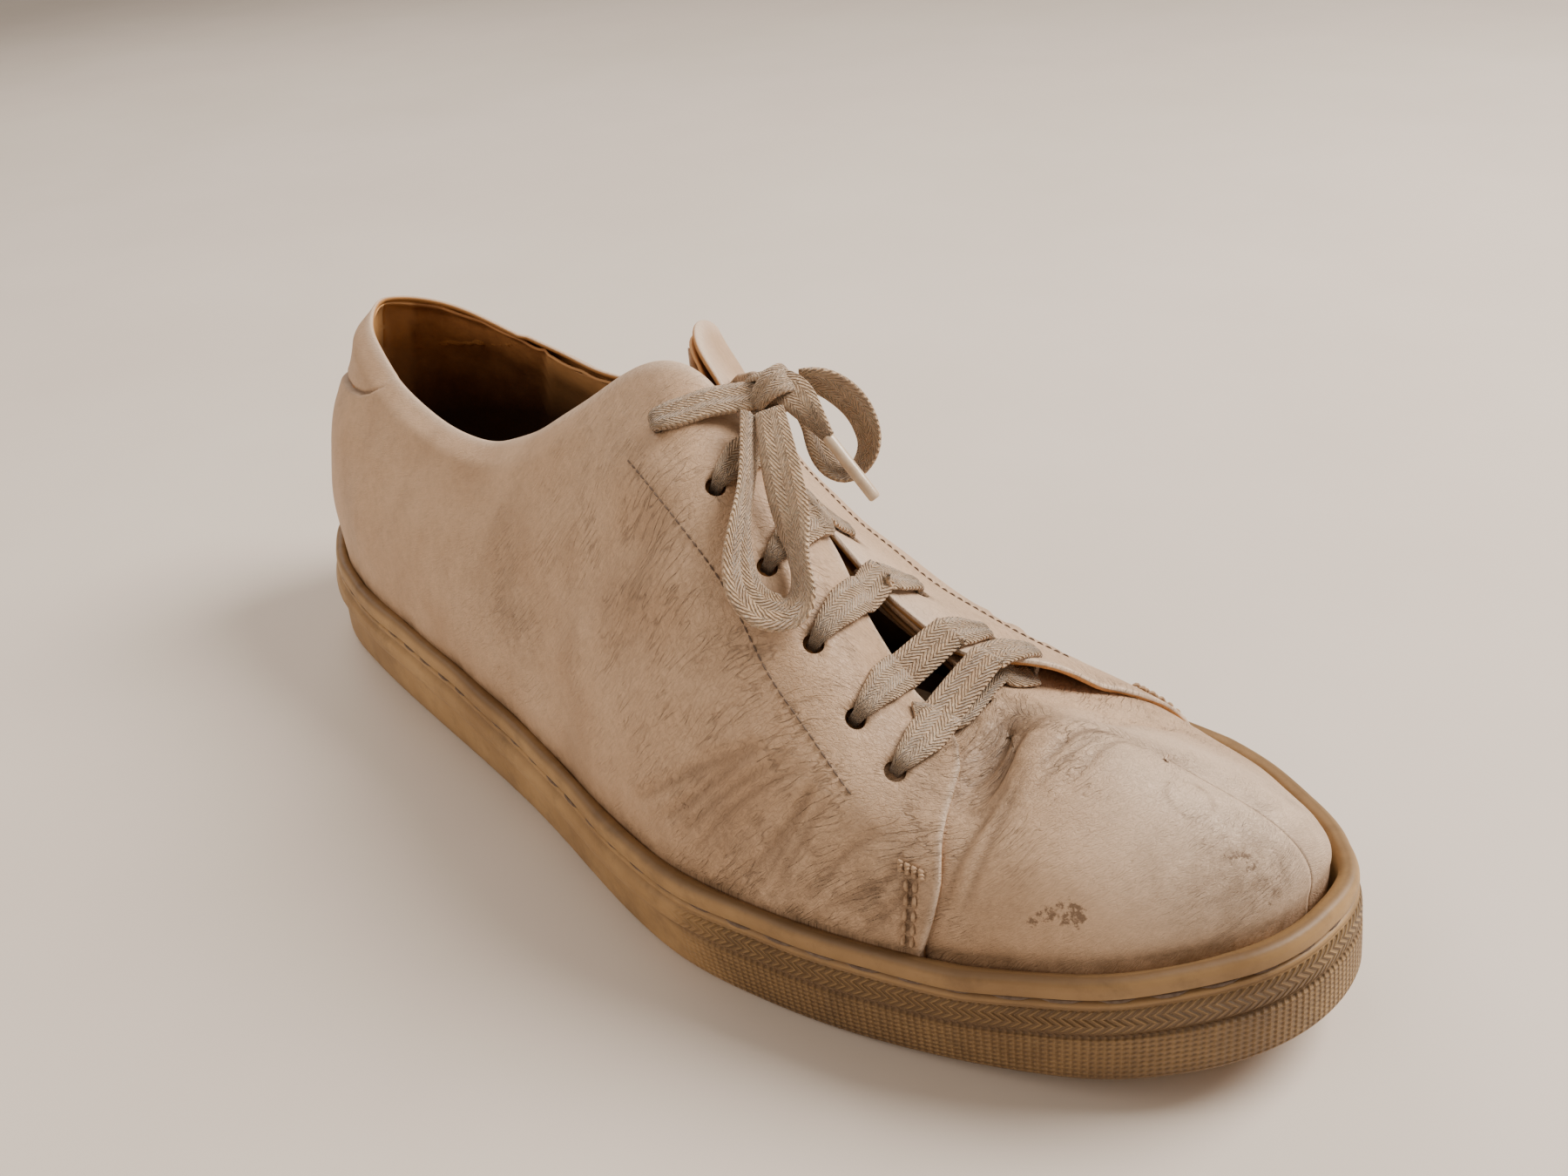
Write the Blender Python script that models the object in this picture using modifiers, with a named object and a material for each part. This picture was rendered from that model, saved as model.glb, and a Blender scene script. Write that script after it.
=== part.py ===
# Worn low leather sneaker, right shoe: cup sole, insole, hollow upper, tongue and flat laces.
# Metres, +Z up. The toe points to +X, the medial side is +Y, and the sole rests on z = 0.
# Tables hold shares of the named sizes; the last's own frame starts at the back of the heel.
import math

import bmesh
import bpy
import numpy as np
from mathutils import Matrix, Vector

# Driving sizes of the sole
SOLE_LENGTH = 0.298
BALL_WIDTH = 0.0987
HEEL_LIFT = 0.0285
FOREFOOT_LIFT = 0.0250
TOE_SPRING = 0.0120
LIP_SPRING = 0.0090
SPRING_START = 0.215
HEEL_FLOOR = 0.0170
FOREFOOT_FLOOR = 0.0110
LIP_THICKNESS = 0.0030
HEEL_RAKE = 0.0035
SIDE_FLARE = 0.0025
TOE_RAKE = 0.0035
TOE_CORNER_RAKE = 0.0026
FOREFOOT_SHARE = 0.67
TREAD_RIM = 0.0060
TREAD_BEVEL = 0.0010
ARCH_RECESS = 0.0015

# Driving sizes of the upper
HEEL_HEIGHT = 0.086
INSTEP_HEIGHT = 0.1044
VAMP_HEIGHT = 0.057
QUARTER_WALL = 0.0024
QUARTER_STEP = 0.0010
TAB_STEP = 0.0006
COLLAR_ROLL = 0.0013

# Insole and tongue
INSOLE_THICKNESS = 0.0040
INSOLE_BEVEL = 0.0010
TONGUE_THICKNESS = 0.0024
TONGUE_CLEARANCE = 0.0006
FIT_GAP = 0.0003

# Eyelets
EYELET_DIAMETER = 0.0040
EYELET_SETBACK = 0.0142
FIRST_LATERAL_EYELET = 0.0050
FIRST_MEDIAL_EYELET = 0.0105
EYELET_PITCH = 0.0155
CUT_REACH = 0.012

# Flat lace: bars between the eyelets, a knot by the upper two, two loops and one end
LACE_WIDTH = 0.0072
LACE_THICKNESS = 0.0014
LACE_LIFT = 0.0017
LACE_PINCH = 0.55
LACE_TUBE_DIAMETER = 0.0032
KNOT_LENGTH = 0.0150
KNOT_WIDTH = 0.0120
KNOT_DEPTH = 0.0080
KNOT_CENTRE = (0.1775, -0.0085, 0.1005)
KNOT_ROWS = (12.0, 13.0)
AGLET_DIAMETER = 0.0030

# Routes of the loops and of the end in the last's own frame, chosen by hand
NEAR_LOOP = (
    (0.1826, -0.0138, 0.1002), (0.1878, -0.0176, 0.0964), (0.1928, -0.0210, 0.0912),
    (0.1978, -0.0242, 0.0859), (0.2025, -0.0277, 0.0810), (0.2060, -0.0312, 0.0772),
    (0.2063, -0.0347, 0.0753), (0.2032, -0.0375, 0.0757), (0.1993, -0.0382, 0.0781),
    (0.1957, -0.0362, 0.0819), (0.1926, -0.0325, 0.0861), (0.1896, -0.0282, 0.0895),
    (0.1864, -0.0239, 0.0928), (0.1831, -0.0198, 0.0960), (0.1800, -0.0160, 0.0992),
)
FAR_LOOP = (
    (0.1802, -0.0022, 0.1018), (0.1838, 0.0010, 0.1012), (0.1870, 0.0048, 0.0970),
    (0.1890, 0.0070, 0.0915), (0.1896, 0.0072, 0.0858), (0.1880, 0.0054, 0.0812),
    (0.1850, 0.0034, 0.0796), (0.1820, 0.0022, 0.0818), (0.1802, 0.0016, 0.0860),
    (0.1792, 0.0006, 0.0905), (0.1788, -0.0018, 0.0948),
)
NEAR_END = ((0.1856, -0.0076, 0.0992), (0.1888, -0.0072, 0.0963), (0.1908, -0.0069, 0.0943))
NEAR_AGLET = ((0.1911, -0.0069, 0.0940), (0.2010, -0.0056, 0.0840))

# Outline of the sole, a row for each section from heel to toe:
# along (share of the length), lateral and medial (shares of the ball width)
OUTLINE = (
    (0.000, 0.000, 0.000),
    (0.005, -0.101, 0.101),
    (0.020, -0.212, 0.203),
    (0.047, -0.294, 0.284),
    (0.091, -0.360, 0.345),
    (0.141, -0.395, 0.375),
    (0.208, -0.424, 0.381),
    (0.289, -0.451, 0.369),
    (0.376, -0.478, 0.357),
    (0.460, -0.512, 0.356),
    (0.534, -0.554, 0.366),
    (0.597, -0.585, 0.382),
    (0.654, -0.593, 0.396),
    (0.711, -0.567, 0.404),
    (0.765, -0.527, 0.407),
    (0.812, -0.482, 0.400),
    (0.852, -0.439, 0.385),
    (0.889, -0.394, 0.362),
    (0.923, -0.343, 0.317),
    (0.953, -0.273, 0.273),
    (0.977, -0.193, 0.216),
    (0.994, -0.091, 0.133),
    (1.000, 0.021, 0.021),
)

# Free edge of the upper, a row for each section above: the height that the row follows, lateral
# along, side and height share, then medial along, side and height share. The last rows are the
# ridge of the vamp, where both sides meet.
EDGE = (
    (HEEL_HEIGHT, 0.057, 0.000, 1.000, 0.057, 0.000, 1.000),
    (HEEL_HEIGHT, 0.067, -0.051, 0.995, 0.067, 0.055, 0.995),
    (HEEL_HEIGHT, 0.084, -0.091, 0.983, 0.084, 0.101, 0.981),
    (HEEL_HEIGHT, 0.107, -0.130, 0.965, 0.107, 0.144, 0.957),
    (HEEL_HEIGHT, 0.141, -0.166, 0.934, 0.139, 0.185, 0.919),
    (HEEL_HEIGHT, 0.181, -0.198, 0.897, 0.178, 0.221, 0.872),
    (HEEL_HEIGHT, 0.232, -0.223, 0.868, 0.227, 0.243, 0.836),
    (HEEL_HEIGHT, 0.289, -0.237, 0.853, 0.285, 0.256, 0.819),
    (HEEL_HEIGHT, 0.352, -0.243, 0.889, 0.349, 0.258, 0.856),
    (INSTEP_HEIGHT, 0.416, -0.235, 0.819, 0.406, 0.240, 0.799),
    (INSTEP_HEIGHT, 0.473, -0.210, 0.929, 0.450, 0.178, 0.908),
    (INSTEP_HEIGHT, 0.517, -0.178, 1.000, 0.477, 0.070, 0.983),
    (INSTEP_HEIGHT, 0.557, -0.144, 0.981, 0.510, -0.025, 0.977),
    (INSTEP_HEIGHT, 0.604, -0.130, 0.857, 0.564, -0.066, 0.867),
    (INSTEP_HEIGHT, 0.661, -0.133, 0.722, 0.628, -0.081, 0.742),
    (VAMP_HEIGHT, 0.715, -0.170, 1.056, 0.691, -0.081, 1.158),
    (VAMP_HEIGHT, 0.767, -0.190, 0.945, 0.745, -0.076, 1.020),
    (VAMP_HEIGHT, 0.782, -0.112, 1.000, 0.782, -0.112, 1.000),
    (VAMP_HEIGHT, 0.809, -0.091, 1.000, 0.809, -0.091, 1.000),
    (VAMP_HEIGHT, 0.836, -0.070, 0.993, 0.836, -0.070, 0.993),
    (VAMP_HEIGHT, 0.859, -0.055, 0.976, 0.859, -0.055, 0.976),
    (VAMP_HEIGHT, 0.876, -0.040, 0.952, 0.876, -0.040, 0.952),
    (VAMP_HEIGHT, 0.886, -0.030, 0.936, 0.886, -0.030, 0.936),
)
PEAK_ROW = 11
THROAT_ROW = 17

# Fullness of each section: rise (share of its height), bulge (share of the ball width), reach
# and drop (shares of its inward run and of its height), lateral and then medial. The medial side
# has sunk towards a straight slope between the throat and the ball.
FULLNESS = (
    (0.45, 0.020, 0.85, 0.18, 0.45, 0.020, 0.85, 0.18),
    (0.45, 0.020, 0.85, 0.18, 0.45, 0.020, 0.85, 0.18),
    (0.45, 0.020, 0.85, 0.18, 0.45, 0.020, 0.85, 0.18),
    (0.45, 0.020, 0.80, 0.18, 0.45, 0.020, 0.80, 0.18),
    (0.45, 0.017, 0.72, 0.18, 0.45, 0.017, 0.72, 0.18),
    (0.45, 0.016, 0.66, 0.18, 0.45, 0.016, 0.66, 0.18),
    (0.45, 0.016, 0.62, 0.18, 0.45, 0.016, 0.62, 0.18),
    (0.45, 0.015, 0.60, 0.18, 0.45, 0.015, 0.60, 0.18),
    (0.44, 0.011, 0.58, 0.20, 0.44, 0.011, 0.58, 0.20),
    (0.42, 0.004, 0.54, 0.20, 0.42, -0.005, 0.48, 0.24),
    (0.40, 0.000, 0.50, 0.20, 0.38, -0.038, 0.34, 0.36),
    (0.40, 0.000, 0.48, 0.16, 0.34, -0.081, 0.24, 0.42),
    (0.42, 0.002, 0.50, 0.08, 0.32, -0.108, 0.20, 0.42),
    (0.47, 0.009, 0.52, 0.04, 0.32, -0.108, 0.18, 0.40),
    (0.52, 0.013, 0.54, 0.02, 0.33, -0.092, 0.20, 0.36),
    (0.56, 0.015, 0.56, 0.00, 0.36, -0.060, 0.24, 0.24),
    (0.60, 0.015, 0.58, 0.00, 0.35, -0.040, 0.24, 0.14),
    (0.62, 0.015, 0.58, 0.00, 0.34, -0.030, 0.25, 0.07),
    (0.62, 0.015, 0.58, 0.00, 0.35, -0.022, 0.30, 0.06),
    (0.62, 0.015, 0.58, 0.00, 0.37, -0.012, 0.36, 0.06),
    (0.62, 0.015, 0.58, 0.03, 0.42, -0.002, 0.44, 0.07),
    (0.62, 0.015, 0.58, 0.12, 0.50, 0.008, 0.52, 0.13),
    (0.60, 0.015, 0.58, 0.20, 0.60, 0.015, 0.58, 0.20),
)

# Side of the sole from the tread to the lip: height share, outset of the forefoot and outset of
# the waist and heel, in shares of the lip's thickness
SIDE_STEPS = (
    (0.000, -0.45, -0.45),
    (0.040, -0.08, -0.08),
    (0.250, 0.05, 0.00),
    (0.460, 0.12, 0.00),
    (0.490, -0.15, 0.05),
    (0.520, 0.12, 0.32),
    (0.620, 0.14, 0.46),
    (0.710, 0.12, 0.30),
    (0.740, -0.06, -0.05),
    (0.790, -0.06, -0.06),
    (0.800, -0.24, -0.24),
    (0.820, -0.24, -0.24),
    (0.835, 0.00, 0.00),
    (0.965, 0.00, 0.00),
    (1.000, -0.22, -0.22),
)
RIB_END = 0.62
RIB_FADE = 0.06
# Shares of the length over which the recess of the arch rises and falls under the waist
ARCH_SPAN = (0.30, 0.38, 0.52, 0.60)
# Shares of the rows, heel to toe, at which the side of the sole changes its lean
LEAN_ROWS = (0.0, 0.12, 0.25, 0.72, 0.90, 1.0)

# Front edge of the quarters: height share of the section, and the rows that it runs forward there
# on the lateral and on the medial side
QUARTER_ROW = 15.25
QUARTER_FRONT = (
    (0.00, 0.00, 0.00), (0.15, 0.16, 0.10), (0.30, 0.30, 0.30), (0.46, 0.37, 0.70),
    (0.57, 0.49, 1.10), (0.68, 0.65, 1.50), (0.78, 0.81, 1.65), (0.86, 0.86, 1.50),
    (0.94, 0.76, 1.00), (1.00, 0.62, 0.62),
)
QUARTER_SPREAD = 3.0
# Lower edge of the heel tab: row against the height share of the section
TAB_SEAM = ((0.0, 0.44), (1.0, 0.47), (2.0, 0.56), (3.0, 0.68), (4.0, 0.82), (4.8, 0.92),
            (7.0, 0.80), (9.0, 0.70))
TAB_END_ROW = 4.6
TAB_BASE = 0.70

# Eyelets from the top down, lateral and then medial: how far along the throat's edge after the
# first (shares of the pitch), how far back from it (shares of the setback), and how far the lace
# leans towards the edge's nearest point (shares of the way there)
EYELETS = (
    (0.00, 1.00, 0.75, 0.00, 0.98, 0.75),
    (1.00, 1.41, 0.75, 1.30, 1.10, 0.75),
    (2.03, 1.65, 0.75, 2.55, 1.20, 0.75),
    (2.93, 1.94, 0.70, 3.71, 1.20, 0.75),
    (3.81, 2.08, 0.70, 4.85, 1.15, 0.75),
    (4.61, 1.97, 0.92, 5.80, 1.05, 0.80),
)
# Padded collar: rows between which it stands proud, and level and spread of its roll and trough
COLLAR_ROWS = (0.0, 1.5, 9.0, 11.0)
COLLAR_SHARES = (0.3, 1.0, 1.0, 0.0)
ROLL_LEVEL = 0.90
ROLL_SPREAD = 0.07
TROUGH_LEVEL = 0.70
TROUGH_SPREAD = 0.10
TROUGH_SHARE = 0.8
# Rows and levels of the medial side that the tongue lies under
TONGUE_ROWS = (11.4, 16.0)
TONGUE_LEVELS = (0.45, 0.97)

# Sampling of the sections
SOLE_ROWS = 36
LEVELS = (0.0, 0.08, 0.18, 0.29, 0.40, 0.50, 0.60, 0.69, 0.71, 0.78, 0.84, 0.90, 0.955, 1.0)
UPPER_ROWS = (0, 0.4, 0.8, 1.2, 1.6, 2, 2.5, 3, 3.5, 4, 4.5, 5, 5.5, 6, 6.6, 7.2, 7.8, 8.4, 9, 9.5,
              10, 10.4, 10.8, 11.2, 11.6, 12, 12.5, 13, 13.6, 14.1, 14.6, 15, 15.22, 15.28, 15.6,
              16, 16.5, 17, 17.4, 17.9, 18.5, 19.1, 19.8, 20.5, 21.2, 22)
TOP_LEVEL = 0.985
ARC_SAMPLES = 400
TONGUE_GRID = (12, 9)
BAR_STEPS = 6
BAR_PINCH_SHARE = 0.35
KNOT_GRID = (14, 8)
TUBE_SPACING = 2.0
LAST_ROW = len(OUTLINE) - 1


def natural_spline(values):
    """Rows of a table at 0, 1, 2, ... and the bend at each, for a natural cubic through them."""
    rows = np.asarray(values, float)
    count = len(rows)
    system = np.eye(count)
    right = np.zeros_like(rows)
    for i in range(1, count - 1):
        system[i, i - 1:i + 2] = (1.0, 4.0, 1.0)
        right[i] = 6.0 * (rows[i - 1] - 2.0 * rows[i] + rows[i + 1])
    return rows, np.linalg.solve(system, right)


def read(spline, at):
    rows, bend = spline
    count = len(rows)
    at = np.clip(np.asarray(at, float), 0.0, count - 1.0)
    low = np.minimum(at.astype(int), count - 2)
    t = (at - low)[..., None]
    u = 1.0 - t
    return (u * rows[low] + t * rows[low + 1]
            + ((u ** 3 - u) * bend[low] + (t ** 3 - t) * bend[low + 1]) / 6.0)


def round_ends(rows, other):
    """Rows carried past both ends by the other side's, so that heel and toe close smoothly."""
    rows = np.asarray(rows, float)
    other = np.asarray(other, float)
    return np.concatenate([other[3:0:-1], rows, other[-2:-5:-1]])


def outline_sides():
    table = np.asarray(OUTLINE, float)
    lateral = table[:, (0, 1)]
    medial = table[:, (0, 2)]
    return {-1: natural_spline(round_ends(lateral, medial)),
            1: natural_spline(round_ends(medial, lateral))}


def edge_halves():
    """Mean line of the upper's two free edges, and half of what parts them back of the throat."""
    table = np.asarray(EDGE, float)
    scale = np.ones((len(table), 3)) * (SOLE_LENGTH, BALL_WIDTH, 1.0)
    scale[:, 2] = table[:, 0]
    lateral = table[:, 1:4] * scale
    medial = table[:, 4:] * scale
    mean = (lateral + medial) / 2.0
    half = (lateral - medial)[:THROAT_ROW + 1] / 2.0
    return (natural_spline(round_ends(mean, mean)),
            natural_spline(np.concatenate([-half[3:0:-1], half])))


def fullness_sides():
    table = np.asarray(FULLNESS, float)
    lateral = table[:, :4]
    medial = table[:, 4:]
    return {-1: natural_spline(round_ends(lateral, medial)),
            1: natural_spline(round_ends(medial, lateral))}


OUTLINE_SIDES = outline_sides()
EDGE_MEAN, EDGE_HALF = edge_halves()
FULLNESS_SIDES = fullness_sides()


def spring(x, height=TOE_SPRING):
    """Rise towards the toe: of the tread and the floor, or of the lip, which rises less."""
    rise = np.clip((x - SPRING_START) / (SOLE_LENGTH - SPRING_START), 0.0, 1.0)
    return height * rise ** 2


def between(x, heel, forefoot):
    return heel + (forefoot - heel) * np.clip(x / (FOREFOOT_SHARE * SOLE_LENGTH), 0.0, 1.0)


def lip_height(x):
    return between(x, HEEL_LIFT, FOREFOOT_LIFT) + spring(x, LIP_SPRING)


def floor_height(x):
    return between(x, HEEL_FLOOR, FOREFOOT_FLOOR) + spring(x)


def outline(side, row):
    """The sole's outline on the tread, and its outward normal in plan."""
    scale = np.array((SOLE_LENGTH, BALL_WIDTH))
    at = np.asarray(row, float) + 3.0
    point = read(OUTLINE_SIDES[side], at) * scale
    step = 0.02
    ahead = read(OUTLINE_SIDES[side], at + step) * scale
    behind = read(OUTLINE_SIDES[side], at - step) * scale
    along = ahead - behind
    normal = np.stack([-along[..., 1], along[..., 0]], -1) * side
    return point, normal / np.linalg.norm(normal, axis=-1, keepdims=True)


def top_inset(row):
    """How far the lip stands inside the tread's outline: raked at heel and toe, flared between."""
    share = np.asarray(row, float) / LAST_ROW
    return np.interp(share, LEAN_ROWS,
                     (HEEL_RAKE, HEEL_RAKE, -SIDE_FLARE, -SIDE_FLARE, TOE_CORNER_RAKE, TOE_RAKE))


def arch(x):
    """Height of the recess under the waist, inside the rim of the tread."""
    return ARCH_RECESS * np.interp(x / SOLE_LENGTH, ARCH_SPAN, (0.0, 1.0, 1.0, 0.0))


def ring(side, row, inset):
    point, normal = outline(side, row)
    return point - normal * np.asarray(inset)[..., None]


def feather(side, row):
    """Foot of the upper's outer face at the height of the lip."""
    flat = ring(side, row, top_inset(row) + LIP_THICKNESS + FIT_GAP)
    return np.concatenate([flat, lip_height(flat[..., :1])], -1)


def edge(side, row):
    row = np.asarray(row, float) + 3.0
    parted = read(EDGE_HALF, np.minimum(row, THROAT_ROW + 3.0))
    return read(EDGE_MEAN, row) - side * parted


def surface(side, row, level):
    """Outer face of the upper: row runs from heel to toe, level from the lip (0) to the edge (1)."""
    row = np.asarray(row, float)
    level = np.asarray(level, float)[..., None]
    foot = feather(side, row)
    top = edge(side, row)
    full = read(FULLNESS_SIDES[side], row + 3.0)
    run = foot - top
    run[..., 2] = 0.0
    distance = np.linalg.norm(run, axis=-1, keepdims=True)
    out = run / distance
    height = top[..., 2:] - foot[..., 2:]
    up = np.array((0.0, 0.0, 1.0))
    low_handle = foot + up * height * full[..., 0:1] + out * BALL_WIDTH * full[..., 1:2]
    high_handle = top + out * distance * full[..., 2:3] - up * height * full[..., 3:4]
    keep = 1.0 - level
    point = (keep ** 3 * foot + 3 * keep ** 2 * level * low_handle
             + 3 * keep * level ** 2 * high_handle + level ** 3 * top)
    collar = np.interp(row, COLLAR_ROWS, COLLAR_SHARES)[..., None]
    roll = np.exp(-((level - ROLL_LEVEL) / ROLL_SPREAD) ** 2)
    trough = TROUGH_SHARE * np.exp(-((level - TROUGH_LEVEL) / TROUGH_SPREAD) ** 2)
    return point + out * COLLAR_ROLL * collar * (roll - trough)


def surface_normal(side, row, level):
    step = 0.01
    level = np.clip(level, 0.0, TOP_LEVEL)
    low = np.clip(level - step, 0.0, 1.0)
    high = np.clip(level + step, 0.0, 1.0)
    along = surface(side, row + step, level) - surface(side, row - step, level)
    upward = surface(side, row, high) - surface(side, row, low)
    normal = np.cross(along, upward) * -side
    return normal / np.linalg.norm(normal, axis=-1, keepdims=True)


def centre_shift():
    """Centre of the sole's box in plan, which becomes the origin."""
    rows = np.linspace(0.0, LAST_ROW, 400)
    flat = np.concatenate([outline(side, rows)[0] for side in (-1, 1)])
    return (flat.min(0) + flat.max(0)) / 2.0


SHIFT = np.append(centre_shift(), 0.0)


def new_collection(name):
    collection = bpy.data.collections.new(name)
    bpy.context.scene.collection.children.link(collection)
    return collection


def material(name, colour, roughness):
    made = bpy.data.materials.new(name)
    made.use_nodes = True
    shader = made.node_tree.nodes["Principled BSDF"]
    shader.inputs["Base Color"].default_value = (*colour, 1.0)
    shader.inputs["Roughness"].default_value = roughness
    shader.inputs["Metallic"].default_value = 0.0
    made.diffuse_color = (*colour, 1.0)
    return made


def mesh_object(name, points, faces, finish, collection):
    """A closed body from its points and faces, in the part's frame, with its faces turned out."""
    mesh = bpy.data.meshes.new(name)
    mesh.from_pydata([tuple(p) for p in np.asarray(points) - SHIFT], [], faces)
    shape = bmesh.new()
    shape.from_mesh(mesh)
    bmesh.ops.remove_doubles(shape, verts=shape.verts, dist=1e-6)
    bmesh.ops.recalc_face_normals(shape, faces=shape.faces)
    shape.to_mesh(mesh)
    shape.free()
    mesh.shade_smooth()
    mesh.set_sharp_from_angle(angle=math.radians(40))
    mesh.materials.append(finish)
    made = bpy.data.objects.new(name, mesh)
    collection.objects.link(made)
    return made


def perimeter(rows):
    """Pairs of side and row once round the shoe: lateral heel to toe, then medial back."""
    rows = list(rows)
    return [(-1, r) for r in rows] + [(1, r) for r in rows[-2:0:-1]]


def sheet_faces(first, rings, count, flip=False):
    faces = []
    for j in range(rings - 1):
        for i in range(count):
            a = first + j * count + i
            b = first + j * count + (i + 1) % count
            quad = (a, b, b + count, a + count)
            faces.append(quad[::-1] if flip else quad)
    return faces


def across_faces(first, count):
    """Cap of one ring: quads straight across from the lateral to the medial side."""
    faces = [(first, first + 1, first + count - 1)]
    half = count // 2
    for i in range(1, half - 1):
        faces.append((first + i, first + i + 1, first + count - i - 1, first + count - i))
    faces.append((first + half - 1, first + half, first + half + 1))
    return faces


def build_sole(finish, collection):
    """Cup sole: tread with its arch, stepped side with rib and groove, lip, inner wall and floor."""
    stations = perimeter(np.linspace(0.0, LAST_ROW, SOLE_ROWS + 1))
    count = len(stations)
    points = []
    for inset, depth in ((TREAD_RIM + TREAD_BEVEL, 1.0), (TREAD_RIM, 0.0)):
        for side, row in stations:
            place = ring(side, row, inset)
            points.append((*place, spring(place[0]) + depth * arch(place[0])))
    for share, fore, rear in SIDE_STEPS:
        for side, row in stations:
            flat, _ = outline(side, row)
            ribbed = np.clip((RIB_END + RIB_FADE - flat[0] / SOLE_LENGTH) / RIB_FADE, 0.0, 1.0)
            outset = LIP_THICKNESS * (fore + (rear - fore) * ribbed)
            place = ring(side, row, top_inset(row) * share - outset)
            low = spring(place[0])
            points.append((*place, low + (lip_height(place[0]) - low) * share))
    for height in (lip_height, floor_height):
        for side, row in stations:
            place = ring(side, row, top_inset(row) + LIP_THICKNESS)
            points.append((*place, height(place[0])))
    rings = len(SIDE_STEPS) + 4
    faces = sheet_faces(0, rings, count)
    faces += across_faces(0, count)
    faces += across_faces((rings - 1) * count, count)
    return mesh_object("sole", points, faces, finish, collection)


def build_insole(finish, collection):
    """Footbed lying on the sole's floor, inside the foot of the upper."""
    stations = perimeter(np.linspace(0.0, LAST_ROW, SOLE_ROWS + 1))
    count = len(stations)
    inset = LIP_THICKNESS + QUARTER_WALL + 3.0 * FIT_GAP
    points = []
    for drop, extra in ((INSOLE_THICKNESS, 0.0), (INSOLE_BEVEL, 0.0), (0.0, INSOLE_BEVEL)):
        for side, row in stations:
            place = ring(side, row, top_inset(row) + inset + extra)
            points.append((*place, floor_height(place[0]) + FIT_GAP + INSOLE_THICKNESS - drop))
    faces = sheet_faces(0, 3, count)
    faces += across_faces(0, count)
    faces += across_faces(2 * count, count)
    return mesh_object("insole", points, faces, finish, collection)


def quarter_shift(side, row, level):
    """Rows by which the grid runs forward, so that one of its lines is the quarter's front edge."""
    levels, lateral, medial = zip(*QUARTER_FRONT)
    away = np.clip(np.abs(row - QUARTER_ROW) / QUARTER_SPREAD, 0.0, 1.0)
    return np.interp(level, levels, lateral if side < 0 else medial) * np.cos(0.5 * math.pi * away) ** 2


def seam_level(row, level):
    """Level moved so that one line of the grid is the lower edge of the heel tab."""
    seam = np.interp(row, *zip(*TAB_SEAM))
    under = level * seam / TAB_BASE
    over = 1.0 - (1.0 - level) * (1.0 - seam) / (1.0 - TAB_BASE)
    return np.where(level <= TAB_BASE, under, over)


def wall_depth(row, level):
    """Depth of the outer face under the quarter's: the vamp lies under it, and so does the tab."""
    tab = TAB_STEP * np.clip(TAB_END_ROW - row, 0.0, 1.0) * (level > TAB_BASE)
    return np.where(row > QUARTER_ROW, QUARTER_STEP, tab)


def skin(side, rows, levels, depth):
    """Points of one side of the upper, a line for each level, at a depth under the outer face."""
    row, level = np.meshgrid(rows, levels)
    height = seam_level(row, level)
    moved = row + quarter_shift(side, row, height)
    normal = surface_normal(side, moved, height)
    normal[0] = np.concatenate([outline(side, rows)[1], np.zeros((len(rows), 1))], -1)
    other = surface_normal(-side, moved[-1], height[-1])
    shared = np.where((rows >= THROAT_ROW)[:, None], normal[-1] + other, normal[-1])
    normal[-1] = shared / np.linalg.norm(shared, axis=-1, keepdims=True)
    return surface(side, moved, height) - normal * depth[..., None]


def foot_line(side, rows, depth):
    flat = ring(side, rows, top_inset(rows) + LIP_THICKNESS + FIT_GAP + depth)
    return np.concatenate([flat, floor_height(flat[:, :1]) + FIT_GAP], -1)


def build_upper(finish, collection):
    """One hollow shell: vamp and quarters with the step between them, open at collar and throat."""
    rows = np.asarray(UPPER_ROWS, float)
    levels = np.asarray(LEVELS, float)
    skins = []
    for inner in (False, True):
        halves = []
        for side in (-1, 1):
            row, level = np.meshgrid(rows, levels)
            depth = np.full(row.shape, QUARTER_WALL) if inner else wall_depth(row, level)
            foot = foot_line(side, rows, depth[0])
            halves.append(np.concatenate([foot[None], skin(side, rows, levels, depth)]))
        skins.append(np.concatenate([halves[0], halves[1][:, -2:0:-1]], axis=1))
    tall, count = skins[0].shape[:2]
    points = np.concatenate([skins[0].reshape(-1, 3), skins[1].reshape(-1, 3)])
    inner_first = tall * count
    faces = sheet_faces(0, tall, count) + sheet_faces(inner_first, tall, count, flip=True)
    stations = perimeter(UPPER_ROWS)
    top = (tall - 1) * count
    for i in range(count):
        after = (i + 1) % count
        faces.append((i, inner_first + i, inner_first + after, after))
        if stations[i][1] <= THROAT_ROW and stations[after][1] <= THROAT_ROW:
            faces.append((top + i, top + after, inner_first + top + after, inner_first + top + i))
    return mesh_object("upper", points, faces, finish, collection)


def arc_length(points):
    """Length along a line of points, from its first."""
    return np.append(0.0, np.cumsum(np.linalg.norm(np.diff(points, axis=0), axis=1)))


def eyelet_rows(side):
    """Row and level of each eyelet on one side, set back from the throat's edge, and its lean."""
    first = FIRST_LATERAL_EYELET if side < 0 else FIRST_MEDIAL_EYELET
    columns = slice(0, 3) if side < 0 else slice(3, 6)
    rows = np.linspace(PEAK_ROW, THROAT_ROW, ARC_SAMPLES)
    levels = np.linspace(1.0, 0.0, ARC_SAMPLES)
    run = arc_length(edge(side, rows))
    places = []
    for along, back, lean in np.array(EYELETS)[:, columns]:
        row = float(np.interp(first + along * EYELET_PITCH, run, rows))
        depth = arc_length(surface(side, np.full(levels.shape, row), levels))
        places.append((row, float(np.interp(back * EYELET_SETBACK, depth, levels)), lean))
    return places


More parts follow.
